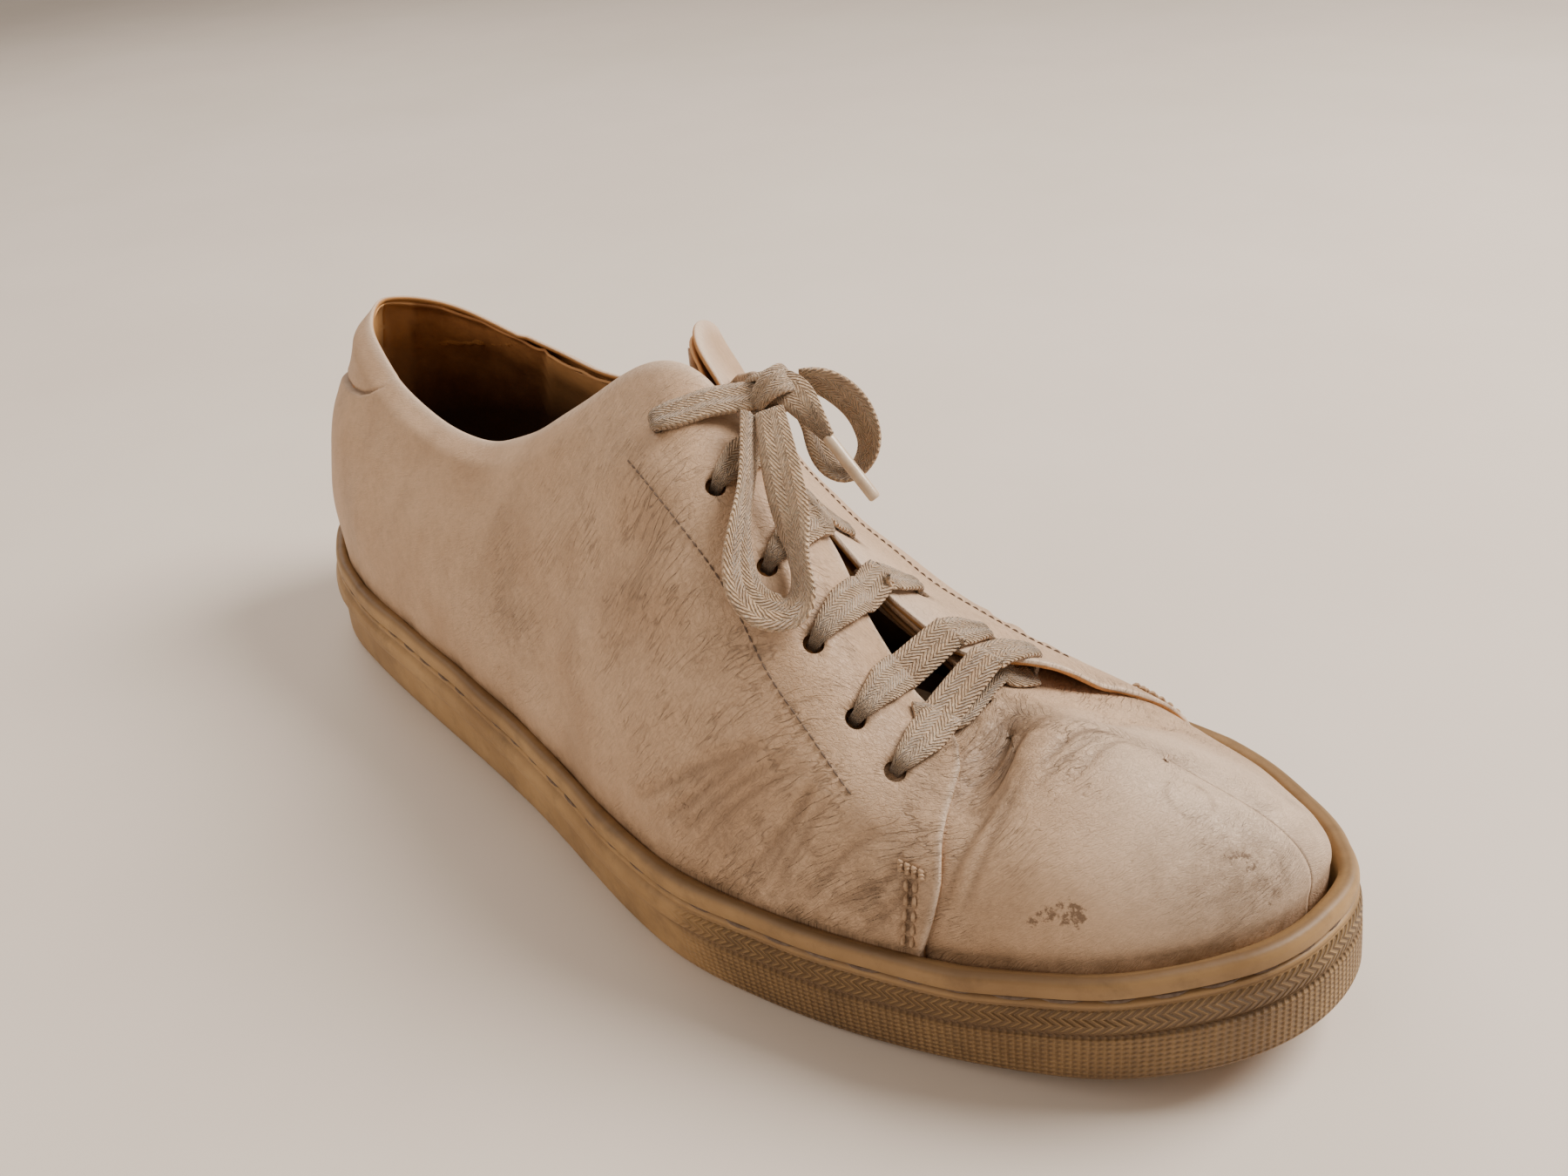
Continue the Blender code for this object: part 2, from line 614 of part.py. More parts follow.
def cut_eyelets(upper, cutters):
    shape = bmesh.new()
    for side in (-1, 1):
        for row, level, _ in eyelet_rows(side):
            centre = surface(side, np.float64(row), np.float64(level))
            normal = surface_normal(side, np.float64(row), np.float64(level))
            turn = Vector((0.0, 0.0, 1.0)).rotation_difference(Vector(normal)).to_matrix().to_4x4()
            where = Matrix.Translation(Vector(centre - SHIFT)) @ turn
            bmesh.ops.create_cone(shape, cap_ends=True, segments=10, radius1=EYELET_DIAMETER / 2,
                                  radius2=EYELET_DIAMETER / 2, depth=CUT_REACH, matrix=where)
    mesh = bpy.data.meshes.new("eyelet_punch")
    shape.to_mesh(mesh)
    shape.free()
    punch = bpy.data.objects.new("eyelet_punch", mesh)
    cutters.objects.link(punch)
    punch.hide_render = True
    punch.display_type = "WIRE"
    cut = upper.modifiers.new("eyelets", "BOOLEAN")
    cut.operation = "DIFFERENCE"
    cut.solver = "EXACT"
    cut.object = punch


def build_tongue(finish, collection):
    """Tongue that has slid to the medial side: it lies under the medial facing."""
    rows = np.linspace(*TONGUE_ROWS, TONGUE_GRID[0])
    levels = np.linspace(*TONGUE_LEVELS, TONGUE_GRID[1])
    row, level = np.meshgrid(rows, levels)
    upper_depth = QUARTER_WALL + TONGUE_CLEARANCE
    normal = surface_normal(1, row, level)
    faces_at = [surface(1, row, level) - normal * (upper_depth + TONGUE_THICKNESS * part)
                for part in (0.0, 1.0)]
    points = np.concatenate([sheet.reshape(-1, 3) for sheet in faces_at])
    wide = len(rows)
    tall = len(levels)
    under = wide * tall
    faces = []
    for j in range(tall - 1):
        for i in range(wide - 1):
            a = j * wide + i
            faces.append((a, a + 1, a + wide + 1, a + wide))
            faces.append((under + a, under + a + wide, under + a + wide + 1, under + a + 1))
    border = list(range(wide))
    border += [j * wide + wide - 1 for j in range(1, tall)]
    border += [(tall - 1) * wide + i for i in range(wide - 2, -1, -1)]
    border += [j * wide for j in range(tall - 2, 0, -1)]
    for a, b in zip(border, border[1:] + border[:1]):
        faces.append((a, under + a, under + b, b))
    return mesh_object("tongue", points, faces, finish, collection)


def rim_row(side, row, level, lean):
    """Row at which a lace from an eyelet crosses the throat's edge, drawn to its nearest point."""
    rows = np.linspace(PEAK_ROW, THROAT_ROW, ARC_SAMPLES)
    away = edge(side, rows) - surface(side, np.float64(row), np.float64(level))
    nearest = rows[np.linalg.norm(away, axis=1).argmin()]
    return row + lean * (nearest - row)


def bar_grid(near, far):
    """Middle sheet of one bar: up the lateral facing, across the gap and down the medial one."""
    across = (-0.5, 0.0, 0.5)
    sheets = []
    for side, (row, level, lean) in ((-1, near), (1, far)):
        crossing = rim_row(side, row, level, lean)
        levels = np.linspace(level, 1.0, BAR_STEPS)
        open_level = level + BAR_PINCH_SHARE * (1.0 - level)
        width = LACE_WIDTH * np.interp(levels, (level, open_level), (LACE_PINCH, 1.0))
        middle = np.interp(levels, (level, 1.0), (row, crossing))
        step = edge(side, crossing + 0.1) - edge(side, crossing - 0.1)
        speed = np.linalg.norm(step) / 0.2
        lines = []
        for share in across:
            rows = middle + share * width / speed
            lines.append(surface(side, rows, levels) + surface_normal(side, rows, levels) * LACE_LIFT)
        sheets.append(np.array(lines))
    return np.concatenate([sheets[0], sheets[1][:, ::-1]], axis=1)


def build_bar(name, near, far, finish, collection):
    grid = bar_grid(near, far)
    wide, tall = grid.shape[:2]
    faces = []
    for i in range(wide - 1):
        for j in range(tall - 1):
            a = i * tall + j
            faces.append((a, a + 1, a + tall + 1, a + tall))
    mesh = bpy.data.meshes.new(name)
    mesh.from_pydata([tuple(p) for p in grid.reshape(-1, 3) - SHIFT], [], faces)
    mesh.materials.append(finish)
    bar = bpy.data.objects.new(name, mesh)
    collection.objects.link(bar)
    wall = bar.modifiers.new("band", "SOLIDIFY")
    wall.thickness = LACE_THICKNESS
    wall.offset = 0.0
    return bar


def smooth_route(points, spacing):
    """Points on one smooth curve through a hand-made route, about a spacing apart."""
    spline = natural_spline(points)
    fine = read(spline, np.linspace(0.0, len(points) - 1.0, ARC_SAMPLES))
    run = arc_length(fine)
    count = max(2, int(round(run[-1] / spacing)) + 1)
    even = np.linspace(0.0, run[-1], count)
    return np.stack([np.interp(even, run, fine[:, k]) for k in range(3)], -1)


def build_tube(name, points, diameter, finish, collection):
    curve = bpy.data.curves.new(name, "CURVE")
    curve.dimensions = "3D"
    curve.bevel_depth = diameter / 2.0
    curve.bevel_resolution = 2
    curve.use_fill_caps = True
    spline = curve.splines.new("POLY")
    route = smooth_route(points, TUBE_SPACING * diameter) - SHIFT
    spline.points.add(len(route) - 1)
    for knot, place in zip(spline.points, route):
        knot.co = (*place, 1.0)
    curve.materials.append(finish)
    tube = bpy.data.objects.new(name, curve)
    collection.objects.link(tube)
    return tube


def build_knot(finish, collection):
    bpy.ops.mesh.primitive_uv_sphere_add(segments=KNOT_GRID[0], ring_count=KNOT_GRID[1], radius=0.5)
    knot = bpy.context.object
    knot.name = "lace_knot"
    knot.data.name = "lace_knot"
    slope = edge(1, KNOT_ROWS[1]) - edge(1, KNOT_ROWS[0])
    knot.scale = (KNOT_LENGTH, KNOT_WIDTH, KNOT_DEPTH)
    knot.rotation_euler = (0.0, -math.atan2(slope[2], slope[0]), 0.0)
    knot.location = Vector(np.array(KNOT_CENTRE) - SHIFT)
    knot.data.shade_smooth()
    knot.data.materials.append(finish)
    for home in list(knot.users_collection):
        home.objects.unlink(knot)
    collection.objects.link(knot)
    return knot


def build_laces(cotton, film, collection):
    near = eyelet_rows(-1)
    far = eyelet_rows(1)
    for number, (start, end) in enumerate(zip(near, far), 1):
        build_bar("lace_bar_%d" % number, start, end, cotton, collection)
    build_knot(cotton, collection)
    for name, route in (("lace_loop_near", NEAR_LOOP), ("lace_loop_far", FAR_LOOP),
                        ("lace_end", NEAR_END)):
        build_tube(name, route, LACE_TUBE_DIAMETER, cotton, collection)
    build_tube("lace_aglet", NEAR_AGLET, AGLET_DIAMETER, film, collection)


def main():
    for old in list(bpy.data.objects):
        bpy.data.objects.remove(old, do_unlink=True)
    part = new_collection("worn_sneaker")
    cutters = new_collection("cutters")
    gum = material("gum_rubber", (0.42, 0.29, 0.14), 0.7)
    leather = material("worn_leather", (0.50, 0.42, 0.34), 0.6)
    lining = material("tan_lining", (0.40, 0.22, 0.09), 0.7)
    build_sole(gum, part)
    build_insole(lining, part)
    upper = build_upper(leather, part)
    cut_eyelets(upper, cutters)
    build_tongue(leather, part)
    cotton = material("flat_cotton", (0.55, 0.47, 0.35), 0.9)
    film = material("aglet_film", (0.75, 0.70, 0.60), 0.4)
    build_laces(cotton, film, part)


main()
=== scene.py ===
# Looks of the worn low leather sneaker, right shoe: camera and laces first, then sole, upper,
# stitches and finishes. Metres; sizes and tables are the shoe's own, in the last's frame, whose
# zero lies at the back of the heel. SHIFT carries it to the centre of the sole.
import math

import bmesh
import bpy
import numpy as np
from mathutils import Matrix, Vector


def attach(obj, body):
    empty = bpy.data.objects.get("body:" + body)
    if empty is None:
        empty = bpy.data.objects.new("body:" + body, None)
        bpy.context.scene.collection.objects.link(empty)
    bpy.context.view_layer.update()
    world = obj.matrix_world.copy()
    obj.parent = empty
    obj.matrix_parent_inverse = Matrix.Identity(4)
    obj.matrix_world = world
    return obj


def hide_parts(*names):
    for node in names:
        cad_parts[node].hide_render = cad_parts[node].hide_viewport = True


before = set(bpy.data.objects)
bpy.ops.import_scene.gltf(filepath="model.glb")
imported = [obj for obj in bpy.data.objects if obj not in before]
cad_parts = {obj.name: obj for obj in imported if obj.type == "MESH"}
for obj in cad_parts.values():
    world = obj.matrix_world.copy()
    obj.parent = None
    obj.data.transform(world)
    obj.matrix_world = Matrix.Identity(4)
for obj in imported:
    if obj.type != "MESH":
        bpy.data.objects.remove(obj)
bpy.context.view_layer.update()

# Driving sizes
SOLE_LENGTH = 0.298
BALL_WIDTH = 0.0987
HEEL_LIFT = 0.0285
FOREFOOT_LIFT = 0.0250
TOE_SPRING = 0.0120
LIP_SPRING = 0.0090
SPRING_START = 0.215
HEEL_FLOOR = 0.0170
FOREFOOT_FLOOR = 0.0110
LIP_THICKNESS = 0.0030
HEEL_RAKE = 0.0035
SIDE_FLARE = 0.0025
TOE_RAKE = 0.0035
TOE_CORNER_RAKE = 0.0026
FOREFOOT_SHARE = 0.67
TREAD_RIM = 0.0060
TREAD_BEVEL = 0.0010
ARCH_RECESS = 0.0015
HEEL_HEIGHT = 0.086
INSTEP_HEIGHT = 0.1044
VAMP_HEIGHT = 0.057
QUARTER_STEP = 0.0010
COLLAR_ROLL = 0.0013
FIT_GAP = 0.0003
EYELET_DIAMETER = 0.0040
EYELET_SETBACK = 0.0142
FIRST_LATERAL_EYELET = 0.0050
FIRST_MEDIAL_EYELET = 0.0105
EYELET_PITCH = 0.0155
LACE_WIDTH = 0.0072
LACE_THICKNESS = 0.0014
LACE_LIFT = 0.0013
AGLET_DIAMETER = 0.0024

# Outline of the sole from heel to toe: along (share of the length), lateral and medial (shares
# of the ball width)
OUTLINE = (
    (0.000, 0.000, 0.000), (0.005, -0.101, 0.101), (0.020, -0.212, 0.203),
    (0.047, -0.294, 0.284), (0.091, -0.360, 0.345), (0.141, -0.395, 0.375),
    (0.208, -0.424, 0.381), (0.289, -0.451, 0.369), (0.376, -0.478, 0.357),
    (0.460, -0.512, 0.356), (0.534, -0.554, 0.366), (0.597, -0.585, 0.382),
    (0.654, -0.593, 0.396), (0.711, -0.567, 0.404), (0.765, -0.527, 0.407),
    (0.812, -0.482, 0.400), (0.852, -0.439, 0.385), (0.889, -0.394, 0.362),
    (0.923, -0.343, 0.317), (0.953, -0.273, 0.273), (0.977, -0.193, 0.216),
    (0.994, -0.091, 0.133), (1.000, 0.021, 0.021),
)

# Free edge of the upper, a row for each section above: the height that the row follows, lateral
# along, side and height share, then medial along, side and height share; once where they meet
EDGE = (
    (HEEL_HEIGHT, 0.057, 0.000, 1.000),
    (HEEL_HEIGHT, 0.067, -0.051, 0.995, 0.067, 0.055, 0.995),
    (HEEL_HEIGHT, 0.084, -0.091, 0.983, 0.084, 0.101, 0.981),
    (HEEL_HEIGHT, 0.107, -0.130, 0.965, 0.107, 0.144, 0.957),
    (HEEL_HEIGHT, 0.141, -0.166, 0.934, 0.139, 0.185, 0.919),
    (HEEL_HEIGHT, 0.181, -0.198, 0.897, 0.178, 0.221, 0.872),
    (HEEL_HEIGHT, 0.232, -0.223, 0.868, 0.227, 0.243, 0.836),
    (HEEL_HEIGHT, 0.289, -0.237, 0.853, 0.285, 0.256, 0.819),
    (HEEL_HEIGHT, 0.352, -0.243, 0.889, 0.349, 0.258, 0.856),
    (INSTEP_HEIGHT, 0.416, -0.235, 0.819, 0.406, 0.240, 0.799),
    (INSTEP_HEIGHT, 0.473, -0.210, 0.929, 0.450, 0.178, 0.908),
    (INSTEP_HEIGHT, 0.517, -0.178, 1.000, 0.477, 0.070, 0.983),
    (INSTEP_HEIGHT, 0.557, -0.144, 0.981, 0.510, -0.025, 0.977),
    (INSTEP_HEIGHT, 0.604, -0.130, 0.857, 0.564, -0.066, 0.867),
    (INSTEP_HEIGHT, 0.661, -0.133, 0.722, 0.628, -0.081, 0.742),
    (VAMP_HEIGHT, 0.715, -0.170, 1.056, 0.691, -0.081, 1.158),
    (VAMP_HEIGHT, 0.767, -0.190, 0.945, 0.745, -0.076, 1.020),
    (VAMP_HEIGHT, 0.782, -0.112, 1.000), (VAMP_HEIGHT, 0.809, -0.091, 1.000),
    (VAMP_HEIGHT, 0.836, -0.070, 0.993), (VAMP_HEIGHT, 0.859, -0.055, 0.976),
    (VAMP_HEIGHT, 0.876, -0.040, 0.952), (VAMP_HEIGHT, 0.886, -0.030, 0.936),
)
PEAK_ROW = 11
THROAT_ROW = 17
LAST_ROW = len(OUTLINE) - 1

# Fullness of each section: rise (share of its height), bulge (share of the ball width), reach
# and drop (shares of its inward run and of its height), lateral and then medial, or once for both
FULLNESS = (
    (0.45, 0.020, 0.85, 0.18), (0.45, 0.020, 0.85, 0.18), (0.45, 0.020, 0.85, 0.18),
    (0.45, 0.020, 0.80, 0.18), (0.45, 0.017, 0.72, 0.18), (0.45, 0.016, 0.66, 0.18),
    (0.45, 0.016, 0.62, 0.18), (0.45, 0.015, 0.60, 0.18), (0.44, 0.011, 0.58, 0.20),
    (0.42, 0.004, 0.54, 0.20, 0.42, -0.005, 0.48, 0.24),
    (0.40, 0.000, 0.50, 0.20, 0.38, -0.038, 0.34, 0.36),
    (0.40, 0.000, 0.48, 0.16, 0.34, -0.081, 0.24, 0.42),
    (0.42, 0.002, 0.50, 0.08, 0.32, -0.108, 0.20, 0.42),
    (0.47, 0.009, 0.52, 0.04, 0.32, -0.108, 0.18, 0.40),
    (0.52, 0.013, 0.54, 0.02, 0.33, -0.092, 0.20, 0.36),
    (0.56, 0.015, 0.56, 0.00, 0.36, -0.060, 0.24, 0.24),
    (0.60, 0.015, 0.58, 0.00, 0.35, -0.040, 0.24, 0.14),
    (0.62, 0.015, 0.58, 0.00, 0.34, -0.030, 0.25, 0.07),
    (0.62, 0.015, 0.58, 0.00, 0.35, -0.022, 0.30, 0.06),
    (0.62, 0.015, 0.58, 0.00, 0.37, -0.012, 0.36, 0.06),
    (0.62, 0.015, 0.58, 0.03, 0.42, -0.002, 0.44, 0.07),
    (0.62, 0.015, 0.58, 0.12, 0.50, 0.008, 0.52, 0.13),
    (0.60, 0.015, 0.58, 0.20),
)

# Side of the sole from the tread to the lip: height share, outset of the forefoot and outset of
# the waist and heel, in shares of the lip's thickness
SIDE_STEPS = (
    (0.000, -0.50, -0.50), (0.012, -0.28, -0.28), (0.035, -0.12, -0.12), (0.075, -0.02, -0.02),
    (0.250, 0.06, 0.00), (0.440, 0.12, -0.04), (0.475, 0.02, 0.02), (0.490, -0.12, 0.08),
    (0.505, 0.02, 0.20), (0.530, 0.13, 0.34), (0.580, 0.15, 0.46), (0.640, 0.15, 0.46),
    (0.700, 0.13, 0.30), (0.725, 0.06, 0.08), (0.740, -0.04, -0.04), (0.765, 0.02, 0.00),
    (0.785, -0.02, -0.04), (0.795, -0.18, -0.18), (0.803, -0.30, -0.30), (0.815, -0.30, -0.30),
    (0.823, -0.12, -0.12), (0.836, 0.02, 0.00), (0.870, 0.06, 0.04), (0.920, 0.06, 0.04),
    (0.955, 0.00, 0.00), (0.980, -0.12, -0.12), (0.995, -0.32, -0.32), (1.000, -0.50, -0.50),
)
# Dirt and painted shade along the grooves and the top of the sole's side: strength, height share and
# spread of each line of it
SOLE_DIRT_AND_SHADE = ((0.75, 0.81, 0.012), (0.55, 1.0, 0.03), (0.50, 0.485, 0.035), (0.30, 0.74, 0.02))
RIB_END = 0.62
RIB_FADE = 0.06
ARCH_SPAN = (0.30, 0.38, 0.52, 0.60)
LEAN_ROWS = (0.0, 0.12, 0.25, 0.72, 0.90, 1.0)

# Front edge of the quarters: height share of the section, and the rows that it runs forward
# there on the lateral and on the medial side
QUARTER_ROW = 15.25
QUARTER_FRONT = (
    (0.00, 0.00, 0.00), (0.15, 0.16, 0.10), (0.30, 0.30, 0.30), (0.46, 0.37, 0.58),
    (0.57, 0.49, 0.92), (0.68, 0.65, 1.20), (0.78, 0.81, 1.32), (0.86, 0.86, 1.25),
    (0.94, 0.76, 0.95), (1.00, 0.62, 0.62),
)
QUARTER_SPREAD = 3.0
# Lower edge of the heel tab: row against the height share of the section
TAB_SEAM = ((0.0, 0.60), (1.0, 0.605), (2.0, 0.63), (3.0, 0.675), (3.8, 0.73), (4.3, 0.785),
            (4.62, 0.85), (4.85, 0.94), (5.0, 1.10))

# Eyelets from the top down, lateral and then medial: how far along the throat's edge after the
# first (shares of the pitch) and how far back from it (shares of the setback)
EYELETS = (
    (0.00, 1.00, 0.00, 0.98), (1.00, 1.41, 1.30, 1.10), (2.03, 1.65, 2.55, 1.20),
    (2.93, 1.94, 3.71, 1.20), (3.81, 2.08, 4.85, 1.15), (4.61, 1.97, 5.62, 1.08),
)
# Rows at which each lace crosses the throat's edges, lateral and then medial
CROSSINGS = (
    (11.95, 12.30), (12.90, 13.22), (13.72, 13.92), (14.45, 14.80), (15.22, 15.70), (15.95, 16.52),
)

# Lace under the flap: side, lift and (row, level) of its points
UNDER_BAR = ((-1, 0.0006, ((15.35, 0.86), (15.9, 0.97), (16.35, 1.0))),
             (1, 0.0003, ((16.50, 0.93), (16.45, 0.86), (16.30, 0.78))))

# Padded collar: rows between which it stands proud, and level and spread of its roll and trough
COLLAR_ROWS = (0.0, 1.5, 9.0, 11.0)
COLLAR_SHARES = (0.3, 1.0, 1.0, 0.0)
ROLL_LEVEL = 0.90
ROLL_SPREAD = 0.07
TROUGH_LEVEL = 0.70
TROUGH_SPREAD = 0.10
TROUGH_SHARE = 0.8

# Routes of the loops and of the end
NEAR_LOOP = (
    (0.1826, -0.0138, 0.1002), (0.1878, -0.0176, 0.0964), (0.1928, -0.0210, 0.0912),
    (0.1978, -0.0242, 0.0859), (0.2025, -0.0277, 0.0810), (0.2060, -0.0312, 0.0772),
    (0.2063, -0.0347, 0.0753), (0.2032, -0.0375, 0.0757), (0.1993, -0.0382, 0.0781),
    (0.1957, -0.0362, 0.0819), (0.1926, -0.0325, 0.0861), (0.1896, -0.0282, 0.0895),
    (0.1864, -0.0239, 0.0928), (0.1831, -0.0198, 0.0960), (0.1800, -0.0160, 0.0992),
)
FAR_LOOP = (
    (0.1802, -0.0022, 0.1018), (0.1838, 0.0010, 0.1012), (0.1870, 0.0048, 0.0970),
    (0.1890, 0.0070, 0.0915), (0.1896, 0.0072, 0.0858), (0.1880, 0.0054, 0.0812),
    (0.1850, 0.0034, 0.0796), (0.1820, 0.0022, 0.0818), (0.1802, 0.0016, 0.0860),
    (0.1792, 0.0006, 0.0905), (0.1788, -0.0018, 0.0948),
)
NEAR_END = ((0.1790, -0.0088, 0.1030), (0.1826, -0.0080, 0.1022), (0.1862, -0.0076, 0.0994),
            (0.1890, -0.0072, 0.0964), (0.1908, -0.0069, 0.0943))
NEAR_AGLET = ((0.1905, -0.0070, 0.0946), (0.2010, -0.0056, 0.0840))
KNOT_CENTRE = (0.1775, -0.0085, 0.1005)
# How the flat lace turns about each route, in degrees, and its width there, in shares
NEAR_LOOP_TURNS = (5.0, 5.0, 18.0, 55.0, 15.0, 40.0, 76.0, 78.0, 60.0)
NEAR_LOOP_WIDTHS = (0.80, 1.0, 1.04, 1.0, 1.04, 1.0, 1.0, 0.95, 0.80)
FAR_LOOP_TURNS = (60.0, 56.0, 52.0, 48.0, 52.0, 60.0, 72.0)
FAR_LOOP_WIDTHS = (0.80, 1.0, 1.0, 1.0, 1.0, 1.0, 0.80)
FAR_LOOP_SHARE = 0.92
NEAR_END_TURNS = (10.0, 0.0, 20.0, 50.0)
NEAR_END_WIDTHS = (0.85, 0.95, 0.7, 0.45)
# Where a crossing narrows into its eyelets: places from its end, then shares there
NARROWING = ((0.0, 2.0, 3.2, 6.0, 8.5), (0.34, 0.34, 0.58, 1.0, 1.04))
THICKENING = ((0.0, 2.0, 3.5, 6.0), (1.2, 1.2, 1.15, 1.0))
# Darkening of a crossing where it goes into its eyelets, dirt and painted shade: places from its end,
# then shares
EYELET_DIRT_AND_SHADE = ((0.0, 2.0, 3.5, 6.0), (0.9, 0.75, 0.30, 0.06))

# Creases, placed as (row, level) on a side: side, depth, half width, then the line.
# A negative depth is a ridge.
CREASES = (
    (-1, 0.0042, 0.0038, ((16.2, 0.66), (16.7, 0.82), (17.4, 0.95), (18.0, 1.00))),
    (-1, -0.0018, 0.0045, ((16.6, 0.62), (17.6, 0.78), (18.7, 0.95), (19.5, 1.00))),
    (-1, 0.0009, 0.0010, ((16.3, 0.83), (16.7, 0.90), (17.5, 1.00))),
    (-1, 0.0008, 0.0009, ((16.2, 0.74), (16.9, 0.88), (17.8, 1.00))),
    (-1, 0.0009, 0.0010, ((16.3, 0.66), (17.2, 0.84), (18.3, 1.00))),
    (-1, 0.0007, 0.0011, ((15.04, 0.01), (15.09, 0.15), (15.14, 0.29))),
    (-1, 0.0005, 0.0011, ((15.6, 0.20), (15.8, 0.38), (16.3, 0.57), (17.0, 0.71))),
    (-1, 0.0005, 0.0011, ((15.8, 0.18), (16.1, 0.38), (16.6, 0.57), (17.3, 0.72))),
    (-1, -0.0006, 0.0020, ((15.7, 0.20), (15.95, 0.38), (16.45, 0.57), (17.15, 0.72))),
    (-1, 0.0006, 0.0010, ((17.4, 0.71), (18.6, 0.90), (19.8, 1.00))),
    (-1, 0.0005, 0.0009, ((17.1, 0.62), (18.2, 0.80), (19.4, 0.97))),
    (-1, 0.0005, 0.0009, ((17.6, 0.74), (18.9, 0.93), (20.1, 1.00))),
    (-1, 0.0005, 0.0010, ((17.8, 0.67), (19.4, 0.91), (20.6, 1.00))),
    (-1, 0.0007, 0.0014, ((11.4, 0.11), (12.4, 0.24), (13.1, 0.34))),
    (-1, 0.0008, 0.0013, ((11.9, 0.11), (12.5, 0.21), (13.2, 0.35))),
    (-1, 0.0007, 0.0013, ((12.1, 0.09), (12.7, 0.21), (13.5, 0.36))),
    (-1, 0.0005, 0.0012, ((12.3, 0.07), (12.9, 0.21), (13.7, 0.36))),
    (-1, 0.0007, 0.0012, ((13.0, 0.07), (13.4, 0.18), (13.8, 0.32))),
    (-1, 0.0007, 0.0012, ((13.1, 0.04), (13.5, 0.18), (13.9, 0.36))),
    (-1, 0.0006, 0.0012, ((13.3, 0.04), (13.6, 0.16), (14.0, 0.32))),
    (-1, 0.0005, 0.0011, ((14.0, 0.06), (14.6, 0.17), (15.0, 0.29))),
    (-1, 0.0005, 0.0011, ((14.5, 0.02), (14.8, 0.12), (15.1, 0.21))),
    (-1, 0.0004, 0.0012, ((13.8, 0.07), (14.2, 0.21), (14.6, 0.32))),
    (-1, 0.0010, 0.0070, ((9.3, 0.43), (10.7, 0.56), (11.7, 0.61))),
    (-1, 0.0008, 0.0080, ((9.7, 0.29), (11.2, 0.40), (12.4, 0.48))),
    (-1, -0.0008, 0.0070, ((10.3, 0.74), (11.1, 0.70), (11.8, 0.66))),
    (1, 0.0010, 0.0030, ((16.2, 0.40), (17.0, 0.55), (18.2, 0.80), (19.0, 1.00))),
    (1, 0.0007, 0.0020, ((15.9, 0.20), (16.6, 0.38), (17.8, 0.60))),
    (1, 0.0008, 0.0016, ((12.4, 0.12), (13.0, 0.26), (13.6, 0.38))),
    (1, 0.0008, 0.0016, ((12.9, 0.10), (13.4, 0.24), (14.0, 0.36))),
    (1, 0.0007, 0.0014, ((13.5, 0.08), (13.9, 0.22), (14.4, 0.36))),
)

# Smudges and scuffs: side, row, level, radius, strength
SMUDGES = (
    (-1, 9.0, 0.30, 0.0090, 0.46), (-1, 8.7, 0.38, 0.0070, 0.36), (-1, 11.4, 0.48, 0.0050, 0.40),
    (-1, 11.0, 0.40, 0.0120, 0.32), (-1, 12.4, 0.20, 0.0090, 0.50), (-1, 12.9, 0.12, 0.0080, 0.38),
    (-1, 13.5, 0.12, 0.0090, 0.40), (-1, 14.4, 0.10, 0.0100, 0.42), (-1, 14.9, 0.16, 0.0060, 0.60),
    (-1, 15.0, 0.36, 0.0080, 0.55), (-1, 15.3, 0.62, 0.0050, 0.40), (-1, 16.4, 0.84, 0.0080, 1.00),
    (-1, 17.0, 0.93, 0.0075, 1.00), (-1, 17.6, 0.98, 0.0060, 0.80), (-1, 16.3, 0.60, 0.0050, 0.45),
    (-1, 18.6, 0.34, 0.0060, 0.35), (-1, 20.4, 0.42, 0.0100, 0.42), (-1, 21.2, 0.30, 0.0090, 0.38),
    (-1, 20.9, 0.20, 0.0060, 0.35), (-1, 19.4, 0.20, 0.0080, 0.35), (-1, 10.4, 0.80, 0.0090, 0.35),
    (1, 15.0, 0.20, 0.0110, 0.50), (1, 13.2, 0.18, 0.0120, 0.60), (1, 9.0, 0.30, 0.0110, 0.45),
    (1, 20.0, 0.35, 0.0110, 0.55), (1, 17.5, 0.30, 0.0090, 0.40), (1, 5.0, 0.20, 0.0120, 0.40),
)
# Crisp brown scuffs: side, row, level, radius, strength
SCUFFS = (
    (-1, 16.84, 0.18, 0.0030, 0.85), (-1, 17.25, 0.23, 0.0034, 1.00), (-1, 17.50, 0.20, 0.0028, 0.95),
    (-1, 18.56, 0.33, 0.0030, 0.70), (-1, 20.30, 0.42, 0.0036, 0.72), (-1, 20.75, 0.37, 0.0036, 0.70),
    (-1, 21.30, 0.30, 0.0036, 0.72), (-1, 20.9, 0.16, 0.0030, 0.70), (-1, 16.25, 0.10, 0.0022, 0.60),
    (-1, 11.4, 0.12, 0.0026, 0.75), (-1, 12.15, 0.15, 0.0028, 0.85), (-1, 9.6, 0.10, 0.0026, 0.60),
    (-1, 8.9, 0.30, 0.0040, 0.62), (-1, 11.4, 0.48, 0.0030, 0.60), (-1, 15.4, 0.64, 0.0014, 0.95),
    (-1, 15.3, 0.40, 0.0030, 0.66), (1, 19.0, 0.25, 0.0036, 0.75), (1, 14.0, 0.20, 0.0034, 0.70),
    (1, 6.0, 0.35, 0.0036, 0.62), (-1, 3.0, 0.30, 0.0036, 0.60), (-1, 6.5, 0.16, 0.0030, 0.62),
)
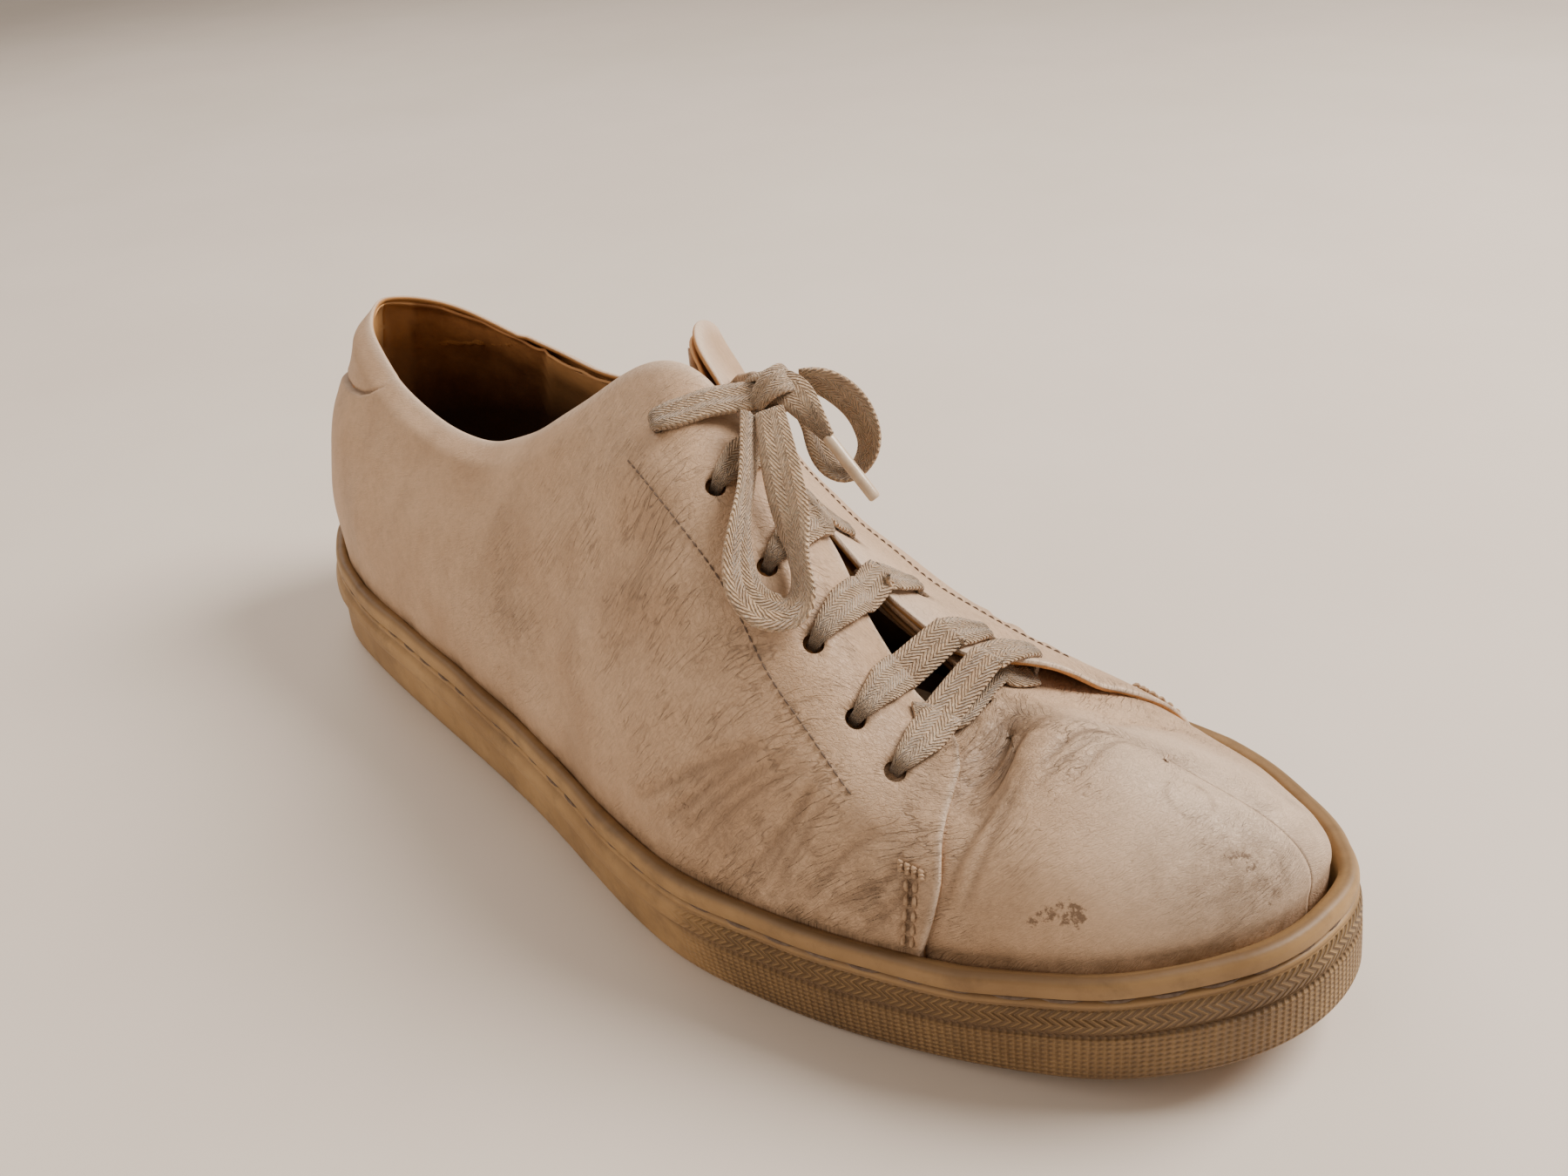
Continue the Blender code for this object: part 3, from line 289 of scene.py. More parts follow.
# Fine wrinkled areas: side, row, level, radius, strength
WRINKLED = (
    (-1, 12.6, 0.20, 0.0200, 1.00), (-1, 13.8, 0.18, 0.0180, 1.00), (-1, 11.6, 0.50, 0.0280, 0.80),
    (-1, 13.6, 0.45, 0.0250, 0.70), (-1, 16.6, 0.85, 0.0130, 1.00), (-1, 18.0, 0.85, 0.0150, 0.60),
    (-1, 15.0, 0.30, 0.0140, 0.80), (-1, 10.4, 0.70, 0.0220, 0.60), (1, 13.4, 0.25, 0.0260, 1.00),
    (1, 16.8, 0.45, 0.0200, 0.80), (-1, 8.6, 0.40, 0.0200, 0.50), (-1, 20.6, 0.35, 0.0130, 0.60),
)

# Ring mark on the toe: side, row and level of its centre, radius and width of its line
RING_MARK = (-1, 20.46, 0.705)
RING_RADIUS = 0.0042
RING_LINE = 0.0006

# Stitch lines as (row, level)
QUARTER_STITCHES = (
    (10.94, 0.75), (11.66, 0.67), (12.28, 0.625), (12.80, 0.585), (13.26, 0.51), (13.72, 0.46),
    (14.16, 0.41), (14.44, 0.385),
)
MEDIAL_STITCHES = ((11.2, 0.64), (12.2, 0.58), (13.2, 0.53), (14.1, 0.49), (15.0, 0.45))
TACK = ((14.96, 0.295), (15.40, 0.305))
FRONT_ROWS = (14.98, 15.10)
FRONT_LEVELS = (0.02, 0.29)

# Sole stitches: pitch, length and height share
SOLE_STITCH = (0.0088, 0.0070, 0.809)

# Colours of the leather, its marks, the lining, the rubber and the laces
LEATHER_LIGHT = (0.63, 0.430, 0.275)
LEATHER_DARK = (0.50, 0.320, 0.190)
LEATHER_PALE = (0.80, 0.630, 0.480)
LEATHER_DIRT = (0.185, 0.110, 0.058)
WRINKLE_DIRT_AND_SHADE = (0.17, 0.105, 0.060)
CREASE_DIRT_AND_SHADE = (0.165, 0.100, 0.056)
SCUFF_BROWN = (0.13, 0.072, 0.035)
CUT_LEATHER = (0.52, 0.25, 0.080)
LINING_LIGHT = (0.56, 0.265, 0.090)
LINING_DARK = (0.28, 0.112, 0.034)
LINING_WORN = (0.80, 0.44, 0.175)
# Painted shade deep inside the lining
LINING_PAINTED_SHADE = (0.020, 0.008, 0.004)
GUM_LIGHT = (0.45, 0.275, 0.115)
GUM_DARK = (0.29, 0.165, 0.062)
GUM_GRIME = (0.13, 0.078, 0.034)
GUM_HOLLOW_SHADE = (0.115, 0.062, 0.024)
GUM_DIRT_AND_SHADE = (0.095, 0.052, 0.024)
LACE_LIGHT = (0.86, 0.610, 0.385)
LACE_DARK = (0.66, 0.425, 0.240)
LACE_GAP_SHADE = (0.30, 0.175, 0.085)
LACE_FUZZ = (0.80, 0.66, 0.48)
LACE_DIRT_AND_SHADE = (0.20, 0.135, 0.08)
# Moulded pattern of the rubber and weave of the lace, in metres
CHEVRON_FOLD = 0.0021
CHEVRON_PITCH = 0.0017
DOT_PITCH = 0.0028
WEAVE_FOLD = 0.0018
YARN_PITCH = 0.00105

# Camera: photograph's frame in pixels, focal length in pixels, place in the last's frame, angles
PHOTO_WIDTH = 1800.0
FOCAL_PIXELS = 1720.0
SENSOR_WIDTH = 36.0
CAMERA_PLACE = (0.374, -0.187, 0.212)
CAMERA_AZIMUTH = 47.9
CAMERA_ELEVATION = 30.2
CAMERA_ROLL = -5.1

# Leather as cut, where the vamp starts under the quarters, and what parts the sheets
VAMP_ROW = 14.6
VAMP_GAP = 0.0003
QUARTER_LEATHER = 0.0013
VAMP_WALL = 0.0010
LINING_WALL = 0.0007
LINING_GAP = 0.0019
# Depth of the lining under the outer face, at rows, and the row of its seam
LINING_DEPTH = ((14.0, 15.6), (0.0016, 0.0026))
LINING_SEAM_ROW = 4.35

# Sampling of the meshes
ARC_SAMPLES = 400
LEATHER_STEP = 0.00078
OUTER_LEVELS = 98
INNER_LEVELS = 44
RIM_STEPS = 6
SHARED_LEVELS = 13
MIDDLE_REACH = 0.0070
MIDDLE_PASSES = 40
SOLE_COLUMNS = 640


def natural_spline(values):
    """Rows of a table at 0, 1, 2, ... and the bend at each, for a natural cubic through them."""
    rows = np.asarray(values, float)
    count = len(rows)
    system = np.eye(count)
    right = np.zeros_like(rows)
    for i in range(1, count - 1):
        system[i, i - 1:i + 2] = (1.0, 4.0, 1.0)
        right[i] = 6.0 * (rows[i - 1] - 2.0 * rows[i] + rows[i + 1])
    return rows, np.linalg.solve(system, right)


def read(spline, at):
    """Points of a natural spline at given rows, whole or not."""
    rows, bend = spline
    count = len(rows)
    at = np.clip(np.asarray(at, float), 0.0, count - 1.0)
    low = np.minimum(at.astype(int), count - 2)
    t = (at - low)[..., None]
    u = 1.0 - t
    return (u * rows[low] + t * rows[low + 1]
            + ((u ** 3 - u) * bend[low] + (t ** 3 - t) * bend[low + 1]) / 6.0)


def round_ends(rows, other):
    """Rows carried past both ends by the other side's, so that heel and toe close smoothly."""
    rows = np.asarray(rows, float)
    other = np.asarray(other, float)
    return np.concatenate([other[3:0:-1], rows, other[-2:-5:-1]])


def sided(table, lateral, medial):
    """Splines of one table's lateral and medial columns, each rounded by the other."""
    table = np.array([row if max(medial) < len(row) else row * 2 for row in table], float)
    return {-1: natural_spline(round_ends(table[:, lateral], table[:, medial])),
            1: natural_spline(round_ends(table[:, medial], table[:, lateral]))}


def edge_halves():
    """Mean line of the upper's two free edges, and half of what parts them back of the throat."""
    table = np.array([row if len(row) == 7 else row + row[1:] for row in EDGE], float)
    scale = np.ones((len(table), 3)) * (SOLE_LENGTH, BALL_WIDTH, 1.0)
    scale[:, 2] = table[:, 0]
    lateral = table[:, 1:4] * scale
    medial = table[:, 4:] * scale
    mean = (lateral + medial) / 2.0
    half = (lateral - medial)[:THROAT_ROW + 1] / 2.0
    return (natural_spline(round_ends(mean, mean)),
            natural_spline(np.concatenate([-half[3:0:-1], half])))


OUTLINE_SIDES = sided(OUTLINE, [0, 1], [0, 2])
FULLNESS_SIDES = sided(FULLNESS, [0, 1, 2, 3], [4, 5, 6, 7])
EDGE_MEAN, EDGE_HALF = edge_halves()


def spring(x, height=TOE_SPRING):
    """Rise towards the toe: of the tread and the floor, or of the lip, which rises less."""
    rise = np.clip((x - SPRING_START) / (SOLE_LENGTH - SPRING_START), 0.0, 1.0)
    return height * rise ** 2


def between(x, heel, forefoot):
    """A height that runs evenly from the heel to the forefoot."""
    return heel + (forefoot - heel) * np.clip(x / (FOREFOOT_SHARE * SOLE_LENGTH), 0.0, 1.0)


def lip_height(x):
    return between(x, HEEL_LIFT, FOREFOOT_LIFT) + spring(x, LIP_SPRING)


def floor_height(x):
    return between(x, HEEL_FLOOR, FOREFOOT_FLOOR) + spring(x)


def outline(side, row):
    """The sole's outline on the tread, and its outward normal in plan."""
    scale = np.array((SOLE_LENGTH, BALL_WIDTH))
    at = np.asarray(row, float) + 3.0
    point = read(OUTLINE_SIDES[side], at) * scale
    step = 0.02
    along = (read(OUTLINE_SIDES[side], at + step) - read(OUTLINE_SIDES[side], at - step)) * scale
    normal = np.stack([-along[..., 1], along[..., 0]], -1) * side
    return point, normal / np.linalg.norm(normal, axis=-1, keepdims=True)


def top_inset(row):
    """How far the lip stands inside the tread's outline: raked at heel and toe, flared between."""
    leans = (HEEL_RAKE, HEEL_RAKE, -SIDE_FLARE, -SIDE_FLARE, TOE_CORNER_RAKE, TOE_RAKE)
    return np.interp(np.asarray(row, float) / LAST_ROW, LEAN_ROWS, leans)


def arch(x):
    """How far the tread stands off the floor under the waist."""
    return ARCH_RECESS * np.interp(x / SOLE_LENGTH, ARCH_SPAN, (0.0, 1.0, 1.0, 0.0))


def ring(side, row, inset):
    """The outline drawn in by an inset."""
    point, normal = outline(side, row)
    return point - normal * np.asarray(inset)[..., None]


def feather(side, row):
    """Foot of the upper's outer face at the height of the lip."""
    flat = ring(side, row, top_inset(row) + LIP_THICKNESS + FIT_GAP)
    return np.concatenate([flat, lip_height(flat[..., :1])], -1)


def edge(side, row):
    """Free edge of the upper: collar, then throat, then the toe's middle line."""
    row = np.asarray(row, float) + 3.0
    parted = read(EDGE_HALF, np.minimum(row, THROAT_ROW + 3.0))
    return read(EDGE_MEAN, row) - side * parted


def surface(side, row, level):
    """Outer face of the upper: row runs from heel to toe, level from the lip (0) to the edge (1)."""
    row = np.asarray(row, float)
    level = np.asarray(level, float)[..., None]
    foot = feather(side, row)
    top = edge(side, row)
    full = read(FULLNESS_SIDES[side], row + 3.0)
    run = foot - top
    run[..., 2] = 0.0
    distance = np.linalg.norm(run, axis=-1, keepdims=True)
    out = run / distance
    height = top[..., 2:] - foot[..., 2:]
    up = np.array((0.0, 0.0, 1.0))
    low_handle = foot + up * height * full[..., 0:1] + out * BALL_WIDTH * full[..., 1:2]
    high_handle = top + out * distance * full[..., 2:3] - up * height * full[..., 3:4]
    keep = 1.0 - level
    point = (keep ** 3 * foot + 3 * keep ** 2 * level * low_handle
             + 3 * keep * level ** 2 * high_handle + level ** 3 * top)
    collar = np.interp(row, COLLAR_ROWS, COLLAR_SHARES)[..., None]
    roll = np.exp(-((level - ROLL_LEVEL) / ROLL_SPREAD) ** 2)
    trough = TROUGH_SHARE * np.exp(-((level - TROUGH_LEVEL) / TROUGH_SPREAD) ** 2)
    return point + out * COLLAR_ROLL * collar * (roll - trough)


def unit(vectors):
    return vectors / np.maximum(np.linalg.norm(vectors, axis=-1, keepdims=True), 1e-12)


def surface_normal(side, row, level):
    """Outward direction of the upper's face."""
    step = 0.01
    level = np.clip(level, 0.0, 0.985)
    along = surface(side, row + step, level) - surface(side, row - step, level)
    upward = (surface(side, row, np.clip(level + step, 0.0, 1.0))
              - surface(side, row, np.clip(level - step, 0.0, 1.0)))
    return unit(np.cross(along, upward) * -side)


def flap_lift(side, row, level):
    """How far the free corners of the quarters stand off the vamp."""
    if side > 0:
        return 0.0042 * np.exp(-(((row - 16.5) / 0.8) ** 2 + ((level - 0.80) / 0.22) ** 2))
    return 0.0006 * np.exp(-(((row - 16.0) / 0.35) ** 2 + ((level - 0.88) / 0.16) ** 2))


def arc_length(points):
    """Length along a line of points, from its first."""
    return np.append(0.0, np.cumsum(np.linalg.norm(np.diff(points, axis=0), axis=1)))


def centre_shift():
    """Centre of the sole's box in plan, which becomes the origin."""
    rows = np.linspace(0.0, LAST_ROW, 400)
    flat = np.concatenate([outline(side, rows)[0] for side in (-1, 1)])
    return (flat.min(0) + flat.max(0)) / 2.0


SHIFT = np.append(centre_shift(), 0.0)


def smooth_route(points, spacing):
    """Points on one smooth curve through a hand-made route, about a spacing apart."""
    fine = read(natural_spline(points), np.linspace(0.0, len(points) - 1.0, ARC_SAMPLES))
    run = arc_length(fine)
    even = np.linspace(0.0, run[-1], max(2, int(round(run[-1] / spacing)) + 1))
    return np.stack([np.interp(even, run, fine[:, k]) for k in range(3)], -1)


def eyelet_rows(side):
    """Row and level of each eyelet on one side, set back from the throat's edge."""
    first = FIRST_LATERAL_EYELET if side < 0 else FIRST_MEDIAL_EYELET
    columns = slice(0, 2) if side < 0 else slice(2, 4)
    rows = np.linspace(PEAK_ROW, THROAT_ROW, ARC_SAMPLES)
    levels = np.linspace(1.0, 0.0, ARC_SAMPLES)
    run = arc_length(edge(side, rows))
    places = []
    for along, back in np.array(EYELETS)[:, columns]:
        row = float(np.interp(first + along * EYELET_PITCH, run, rows))
        depth = arc_length(surface(side, np.full(levels.shape, row), levels))
        places.append((row, float(np.interp(back * EYELET_SETBACK, depth, levels))))
    return places


# Finishes

class Finish:
    """A material under way: its shader's own sockets are set, and methods add and link its nodes."""

    def __init__(self, name, colour, roughness, **sockets):
        self.material = bpy.data.materials.new(name)
        self.material.use_nodes = True
        self.nodes = self.material.node_tree.nodes
        self.links = self.material.node_tree.links
        self.shader = self.nodes["Principled BSDF"]
        self.shader.inputs["Base Color"].default_value = (*colour, 1.0)
        self.shader.inputs["Roughness"].default_value = roughness
        for socket, value in sockets.items():
            self.shader.inputs[socket.replace("_", " ")].default_value = value
        self.place = self.nodes.new("ShaderNodeTexCoord").outputs["Object"]

    def put(self, socket, value):
        """Sets a socket to a number or a colour, or links another socket to it."""
        if isinstance(value, tuple):
            socket.default_value = (*value, 1.0)
        elif isinstance(value, (int, float)):
            socket.default_value = value
        else:
            self.links.new(value, socket)

    def math(self, operation, *values):
        made = self.nodes.new("ShaderNodeMath")
        made.operation = operation
        for socket, value in zip(made.inputs, values):
            self.put(socket, value)
        return made.outputs[0]

    def times(self, first, second):
        return self.math("MULTIPLY", first, second)

    def times_plus(self, first, second, third):
        return self.math("MULTIPLY_ADD", first, second, third)

    def wave(self, value, length):
        """Sine of a value in metres, with its wavelength."""
        return self.math("SINE", self.times(value, 2.0 * math.pi / length))

    def mix(self, share, first, second):
        """Colour socket that mixes two colours or sockets by a share."""
        made = self.nodes.new("ShaderNodeMix")
        made.data_type = "RGBA"
        for number, value in ((0, share), (6, first), (7, second)):
            self.put(made.inputs[number], value)
        return made.outputs[2]

    def ramp(self, value, low, high):
        """The value stretched so that low becomes 0 and high 1, clamped."""
        made = self.nodes.new("ShaderNodeMapRange")
        made.inputs["From Min"].default_value = low
        made.inputs["From Max"].default_value = high
        self.links.new(value, made.inputs["Value"])
        return made.outputs["Result"]

    def noise(self, source, scale, detail=4.0, roughness=0.55):
        made = self.nodes.new("ShaderNodeTexNoise")
        for socket, value in (("Scale", scale), ("Detail", detail), ("Roughness", roughness),
                              ("Vector", source)):
            self.put(made.inputs[socket], value)
        return made.outputs[0]

    def stretched(self, source, scale, turn=0.0):
        """Coordinates scaled on each axis after a turn about Z."""
        made = self.nodes.new("ShaderNodeMapping")
        made.vector_type = "TEXTURE"
        made.inputs["Scale"].default_value = tuple(1.0 / part for part in scale)
        made.inputs["Rotation"].default_value = (0.0, 0.0, turn)
        self.links.new(source, made.inputs["Vector"])
        return made.outputs["Vector"]

    def wrinkles(self, source, scale, turn, detail, roughness, width):
        """Fine lines: 1 on the middle level of a stretched noise, 0 at a width either side."""
        level = self.noise(self.stretched(source, scale, turn), 1.0, detail, roughness)
        away = self.math("ABSOLUTE", self.math("SUBTRACT", level, 0.5))
        return self.ramp(away, width, 0.0)

    def field(self, name):
        """A value that the mesh carries at its points."""
        made = self.nodes.new("ShaderNodeAttribute")
        made.attribute_name = name
        return made.outputs["Fac"]

    def flat(self):
        return self.nodes.new("ShaderNodeUVMap").outputs["UV"]

    def parts(self, source):
        made = self.nodes.new("ShaderNodeSeparateXYZ")
        self.links.new(source, made.inputs[0])
        return made.outputs

    def close(self, colour, *layers):
        """Links the colour and a chain of bumps: (height socket, strength, depth in metres)."""
        self.links.new(colour, self.shader.inputs["Base Color"])
        normal = None
        for height, strength, depth in layers:
            made = self.nodes.new("ShaderNodeBump")
            made.inputs["Distance"].default_value = depth
            made.inputs["Strength"].default_value = strength
            self.links.new(height, made.inputs["Height"])
            if normal is not None:
                self.links.new(normal, made.inputs["Normal"])
            normal = made.outputs["Normal"]
        self.links.new(normal, self.shader.inputs["Normal"])
        return self.material


def leather_finish(name, light, dark):
    """Smooth leather gone grey-beige: blotches, fine wrinkles, grain, dirt and painted shade in its
    creases and wrinkles, paler edges and painted highlights.
    """
    look = Finish(name, light, 0.54, Coat_Weight=0.08, Coat_Roughness=0.42, Specular_IOR_Level=0.40)
    place, flat, slack = look.place, look.flat(), look.field("wrinkle")
    colour = look.mix(look.ramp(look.noise(place, 30.0, 6.0, 0.62), 0.36, 0.66), light, dark)
    smear = look.noise(look.stretched(place, (62.0, 62.0, 26.0)), 1.0, 5.0, 0.6)
    smear = look.times(look.ramp(smear, 0.52, 0.72), 0.45)
    colour = look.mix(smear, colour, tuple(0.66 * c for c in dark))
    speck = look.times(look.ramp(look.noise(place, 520.0, 3.0, 0.6), 0.42, 0.72), 0.20)
    colour = look.mix(speck, colour, tuple(0.55 * c for c in dark))
    # Paler rubbed edges, and painted highlights on the medial quarter's top band and on the toe.
    colour = look.mix(look.field("pale"), colour, LEATHER_PALE)
    broken = look.ramp(look.noise(place, 210.0, 6.0, 0.72), 0.36, 0.64)
    dirt_and_shade = look.math("MINIMUM", look.times(look.field("dirt_and_shade"), broken), 0.80)
    colour = look.mix(dirt_and_shade, colour, LEATHER_DIRT)
    fine = look.wrinkles(flat, (1500.0, 400.0, 1.0), -0.80, 2.0, 0.5, 0.065)
    cross = look.wrinkles(flat, (760.0, 1500.0, 1.0), -0.35, 3.0, 0.55, 0.045)
    deep = look.wrinkles(flat, (760.0, 110.0, 1.0), -0.85, 2.0, 0.4, 0.040)
    patchy = look.ramp(look.noise(place, 95.0, 3.0, 0.6), 0.42, 0.60)
    deep = look.times(look.times(deep, slack), patchy)
    creased = look.times_plus(slack, 0.38, 0.26)
    fine = look.times(fine, creased)
    cross = look.times(cross, creased)
    # Dirt and painted shade in the fine wrinkles: their lines darken the colour.
    wrinkle_dirt_and_shade = look.times_plus(fine, 0.26, look.times(deep, 0.42))
    wrinkle_dirt_and_shade = look.times_plus(cross, 0.14, wrinkle_dirt_and_shade)
    colour = look.mix(wrinkle_dirt_and_shade, colour, WRINKLE_DIRT_AND_SHADE)
    # Dirt and painted shade in the creases and in the heel tab's groove.
    colour = look.mix(look.field("crease"), colour, CREASE_DIRT_AND_SHADE)
    scuff = look.times_plus(look.field("scuff"), 0.42, look.noise(place, 720.0, 4.0, 0.7))
    colour = look.mix(look.times(look.ramp(scuff, 0.87, 0.97), 0.80), colour, SCUFF_BROWN)
    colour = look.mix(look.field("tan"), colour, CUT_LEATHER)
    relief = look.times_plus(cross, -0.5, look.times(fine, -0.8))
    return look.close(colour,
                      (look.noise(place, 1700.0, 2.0, 0.5), 0.25, 0.00010),
                      (look.noise(place, 620.0, 3.0, 0.5), 0.32, 0.00022),
                      (look.noise(place, 150.0, 3.0, 0.5), 0.30, 0.00060),
                      (relief, 0.75, 0.00022), (deep, 0.7, -0.00030))


def lining_finish():
    """Tan lining leather, with painted shade that darkens it with depth."""
    look = Finish("tan_lining_leather", (0.40, 0.22, 0.09), 0.62)
    tone = look.ramp(look.noise(look.place, 60.0, 5.0, 0.65), 0.34, 0.66)
    colour = look.mix(tone, LINING_LIGHT, LINING_DARK)
    colour = look.mix(look.field("panel"), colour, LINING_WORN)
    # Painted shade: from about 74 mm down the colour goes towards black, where the inside of the shoe
    # lies in shade.
    low = look.ramp(look.parts(look.place)["Z"], 0.074, 0.046)
    colour = look.mix(look.times(low, 0.93), colour, LINING_PAINTED_SHADE)
    return look.close(colour, (look.noise(look.place, 900.0, 3.0), 0.3, 0.0003),
                      (look.noise(look.place, 120.0, 3.0), 0.3, 0.0012))


def gum_finish():
    """Gum rubber: amber tone with grime, a chevron band over a dotted band round the forefoot,
    painted shade in the pattern's hollows, and dirt with painted shade from the mesh.
    """
    look = Finish("gum_rubber_worn", (0.44, 0.30, 0.14), 0.52, Specular_IOR_Level=0.42)
    place = look.place
    flat = look.parts(look.flat())
    along, up = flat["X"], flat["Y"]
    tone = look.ramp(look.noise(place, 42.0, 5.0, 0.6), 0.34, 0.68)
    colour = look.mix(tone, GUM_LIGHT, GUM_DARK)
    grime = look.times(look.ramp(look.noise(place, 130.0, 6.0, 0.7), 0.50, 0.72), 0.50)
    colour = look.mix(grime, colour, GUM_GRIME)
    slant = look.math("ADD", along, look.math("PINGPONG", up, CHEVRON_FOLD))
    chevron = look.times(look.wave(slant, CHEVRON_PITCH), look.field("chevron"))
    dots = look.times(look.wave(look.math("ADD", along, up), DOT_PITCH),
                      look.wave(look.math("SUBTRACT", along, up), DOT_PITCH))
    relief = look.math("ADD", chevron, look.times(dots, look.field("dotted")))
    # Painted shade: the moulded pattern's hollows are darkened.
    hollow_shade = look.times(look.ramp(relief, -0.1, -0.9), 0.70)
    colour = look.mix(hollow_shade, colour, GUM_HOLLOW_SHADE)
    # Dirt, and painted shade on the lateral forefoot and along the grooves, from the dirt field.
    colour = look.mix(look.field("dirt_and_shade"), colour, GUM_DIRT_AND_SHADE)
    return look.close(colour, (relief, 0.9, 0.00060), (look.noise(place, 700.0, 3.0), 0.25, 0.0002),
                      (look.noise(place, 90.0, 4.0), 0.25, 0.0012))


def lace_finish():
    """Flat herringbone cotton: yarns slant away from the middle line, fuzzy and soiled, with painted
    shade between the yarns and where it goes into the eyelets.
    """
    look = Finish("flat_cotton_lace", (0.56, 0.48, 0.36), 0.92, Sheen_Weight=0.35,
                  Sheen_Roughness=0.5)
    place = look.place
    flat = look.parts(look.flat())
    across, along = flat["X"], flat["Y"]
    wobble = look.times(look.math("SUBTRACT", look.noise(place, 900.0, 2.0), 0.5), 0.0008)
    away = look.math("PINGPONG", across, WEAVE_FOLD)
    slant = look.math("ADD", look.times_plus(away, 1.6, along), wobble)
    weave = look.times_plus(look.wave(across, WEAVE_FOLD), 0.35, look.wave(slant, YARN_PITCH))
    tone = look.ramp(look.noise(place, 160.0, 5.0, 0.65), 0.34, 0.68)
    colour = look.mix(tone, LACE_LIGHT, LACE_DARK)
    # Painted shade between the yarns, in the weave's low places.
    gap = look.times(look.ramp(weave, -0.1, -1.1), 0.60)
    colour = look.mix(gap, colour, LACE_GAP_SHADE)
    fuzz = look.times(look.ramp(look.noise(place, 1500.0, 2.0), 0.56, 0.66), 0.55)
    colour = look.mix(fuzz, colour, LACE_FUZZ)
    # Dirt, and painted shade where the lace goes into its eyelets, from the dirt field.
    colour = look.mix(look.field("dirt_and_shade"), colour, LACE_DIRT_AND_SHADE)
    return look.close(colour, (weave, 0.9, 0.00058), (look.noise(place, 2400.0, 3.0), 0.5, 0.0002))


def plain_finish(name, colour, second, roughness, scale, **sockets):
    """A small piece's finish: two tones by noise and a fine bump."""
    look = Finish(name, colour, roughness, **sockets)
    tone = look.ramp(look.noise(look.place, scale, 4.0, 0.6), 0.35, 0.66)
    return look.close(look.mix(tone, colour, second),
                      (look.noise(look.place, 4.0 * scale, 3.0), 0.3, 0.0002))


# Mesh helpers

def place_object(name, content):
    made = bpy.data.objects.new(name, content)
    bpy.context.scene.collection.objects.link(made)
    return made


def dress(piece, finish, nodes=()):
    """Gives a piece its finish and slot, and sets it on the shoe's only body."""
    piece.data.materials.append(finish)
    piece.data.shade_smooth()
    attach(piece, "root")
    if nodes:
        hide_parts(*nodes)
    return piece


def finish_piece(name, mesh, finish, nodes=()):
    return dress(place_object(name, mesh), finish, nodes)


def join_halves(name, halves, thickness, ease=None):
    """Two half sheets joined along the middle, eased there if asked, and given their thickness."""
    pieces = [place_object(name, halves[0]), place_object(name + "_medial", halves[1])]
    bpy.ops.object.select_all(action="DESELECT")
    for piece in pieces:
        piece.select_set(True)
    bpy.context.view_layer.objects.active = pieces[0]
    bpy.ops.object.join()
    weld(pieces[0].data, 2e-5)
    if ease:
        ease(pieces[0].data)
    wall = pieces[0].modifiers.new("wall", "SOLIDIFY")
    wall.thickness = thickness
    wall.offset = -1.0
    apply_modifiers(pieces[0])
    return pieces[0]


def put_field(mesh, name, values):
    """Gives a mesh a value at each point, for its finish to read."""
    field = mesh.attributes.new(name, "FLOAT", "POINT")
    field.data.foreach_set("value", np.asarray(values, np.float32).ravel())


def lattice(name, points, uv, wrap_up=False, wrap_along=False, flip=False, caps=()):
    """Quads through points[up][along], a UV for each corner; uv has a line more where it wraps."""
    tall, wide = points.shape[:2]
    up = np.arange(tall if wrap_up else tall - 1)
    along = np.arange(wide if wrap_along else wide - 1)
    j, i = (part.ravel() for part in np.meshgrid(up, along, indexing="ij"))
    corners = ((j, i), (j, i + 1), (j + 1, i + 1), (j + 1, i))
    if flip:
        corners = corners[::-1]
    faces = np.stack([(a % tall) * wide + b % wide for a, b in corners], -1).tolist()
    spread = [uv[a, b] for a, b in corners]
    loops = np.stack(spread, 1).reshape(-1, 2)
    for cap in caps:
        faces.append(list(cap))
        loops = np.concatenate([loops, np.zeros((len(cap), 2))])
    mesh = bpy.data.meshes.new(name)
    mesh.from_pydata((points.reshape(-1, 3) - SHIFT).tolist(), [], faces)
    layer = mesh.uv_layers.new(name="UVMap")
    layer.data.foreach_set("uv", loops.ravel().astype(np.float32))
    return mesh


def end_caps(tall, wide):
    """Faces that close both ends of a tube, from its first and last column of points."""
    return (tuple(k * wide for k in range(tall)),
            tuple(k * wide + wide - 1 for k in reversed(range(tall))))


def closed_uv(u, v):
    """UVs in metres from a line of lengths along and one up, each as long as its corners need."""
    return np.stack(np.meshgrid(u, v), -1)


def weld(mesh, distance=1e-6):
    """Joins points that meet, with all faces outwards."""
    shape = bmesh.new()
    shape.from_mesh(mesh)
    bmesh.ops.remove_doubles(shape, verts=shape.verts, dist=distance)
    bmesh.ops.recalc_face_normals(shape, faces=shape.faces)
    shape.to_mesh(mesh)
    shape.free()
    return mesh


def apply_modifiers(piece):
    """Applies a piece's modifiers as by hand, with nothing else selected."""
    bpy.ops.object.select_all(action="DESELECT")
    bpy.context.view_layer.objects.active = piece
    piece.select_set(True)
    for name in [m.name for m in piece.modifiers]:
        bpy.ops.object.modifier_apply(modifier=name)
    piece.select_set(False)


# Camera, light and floor

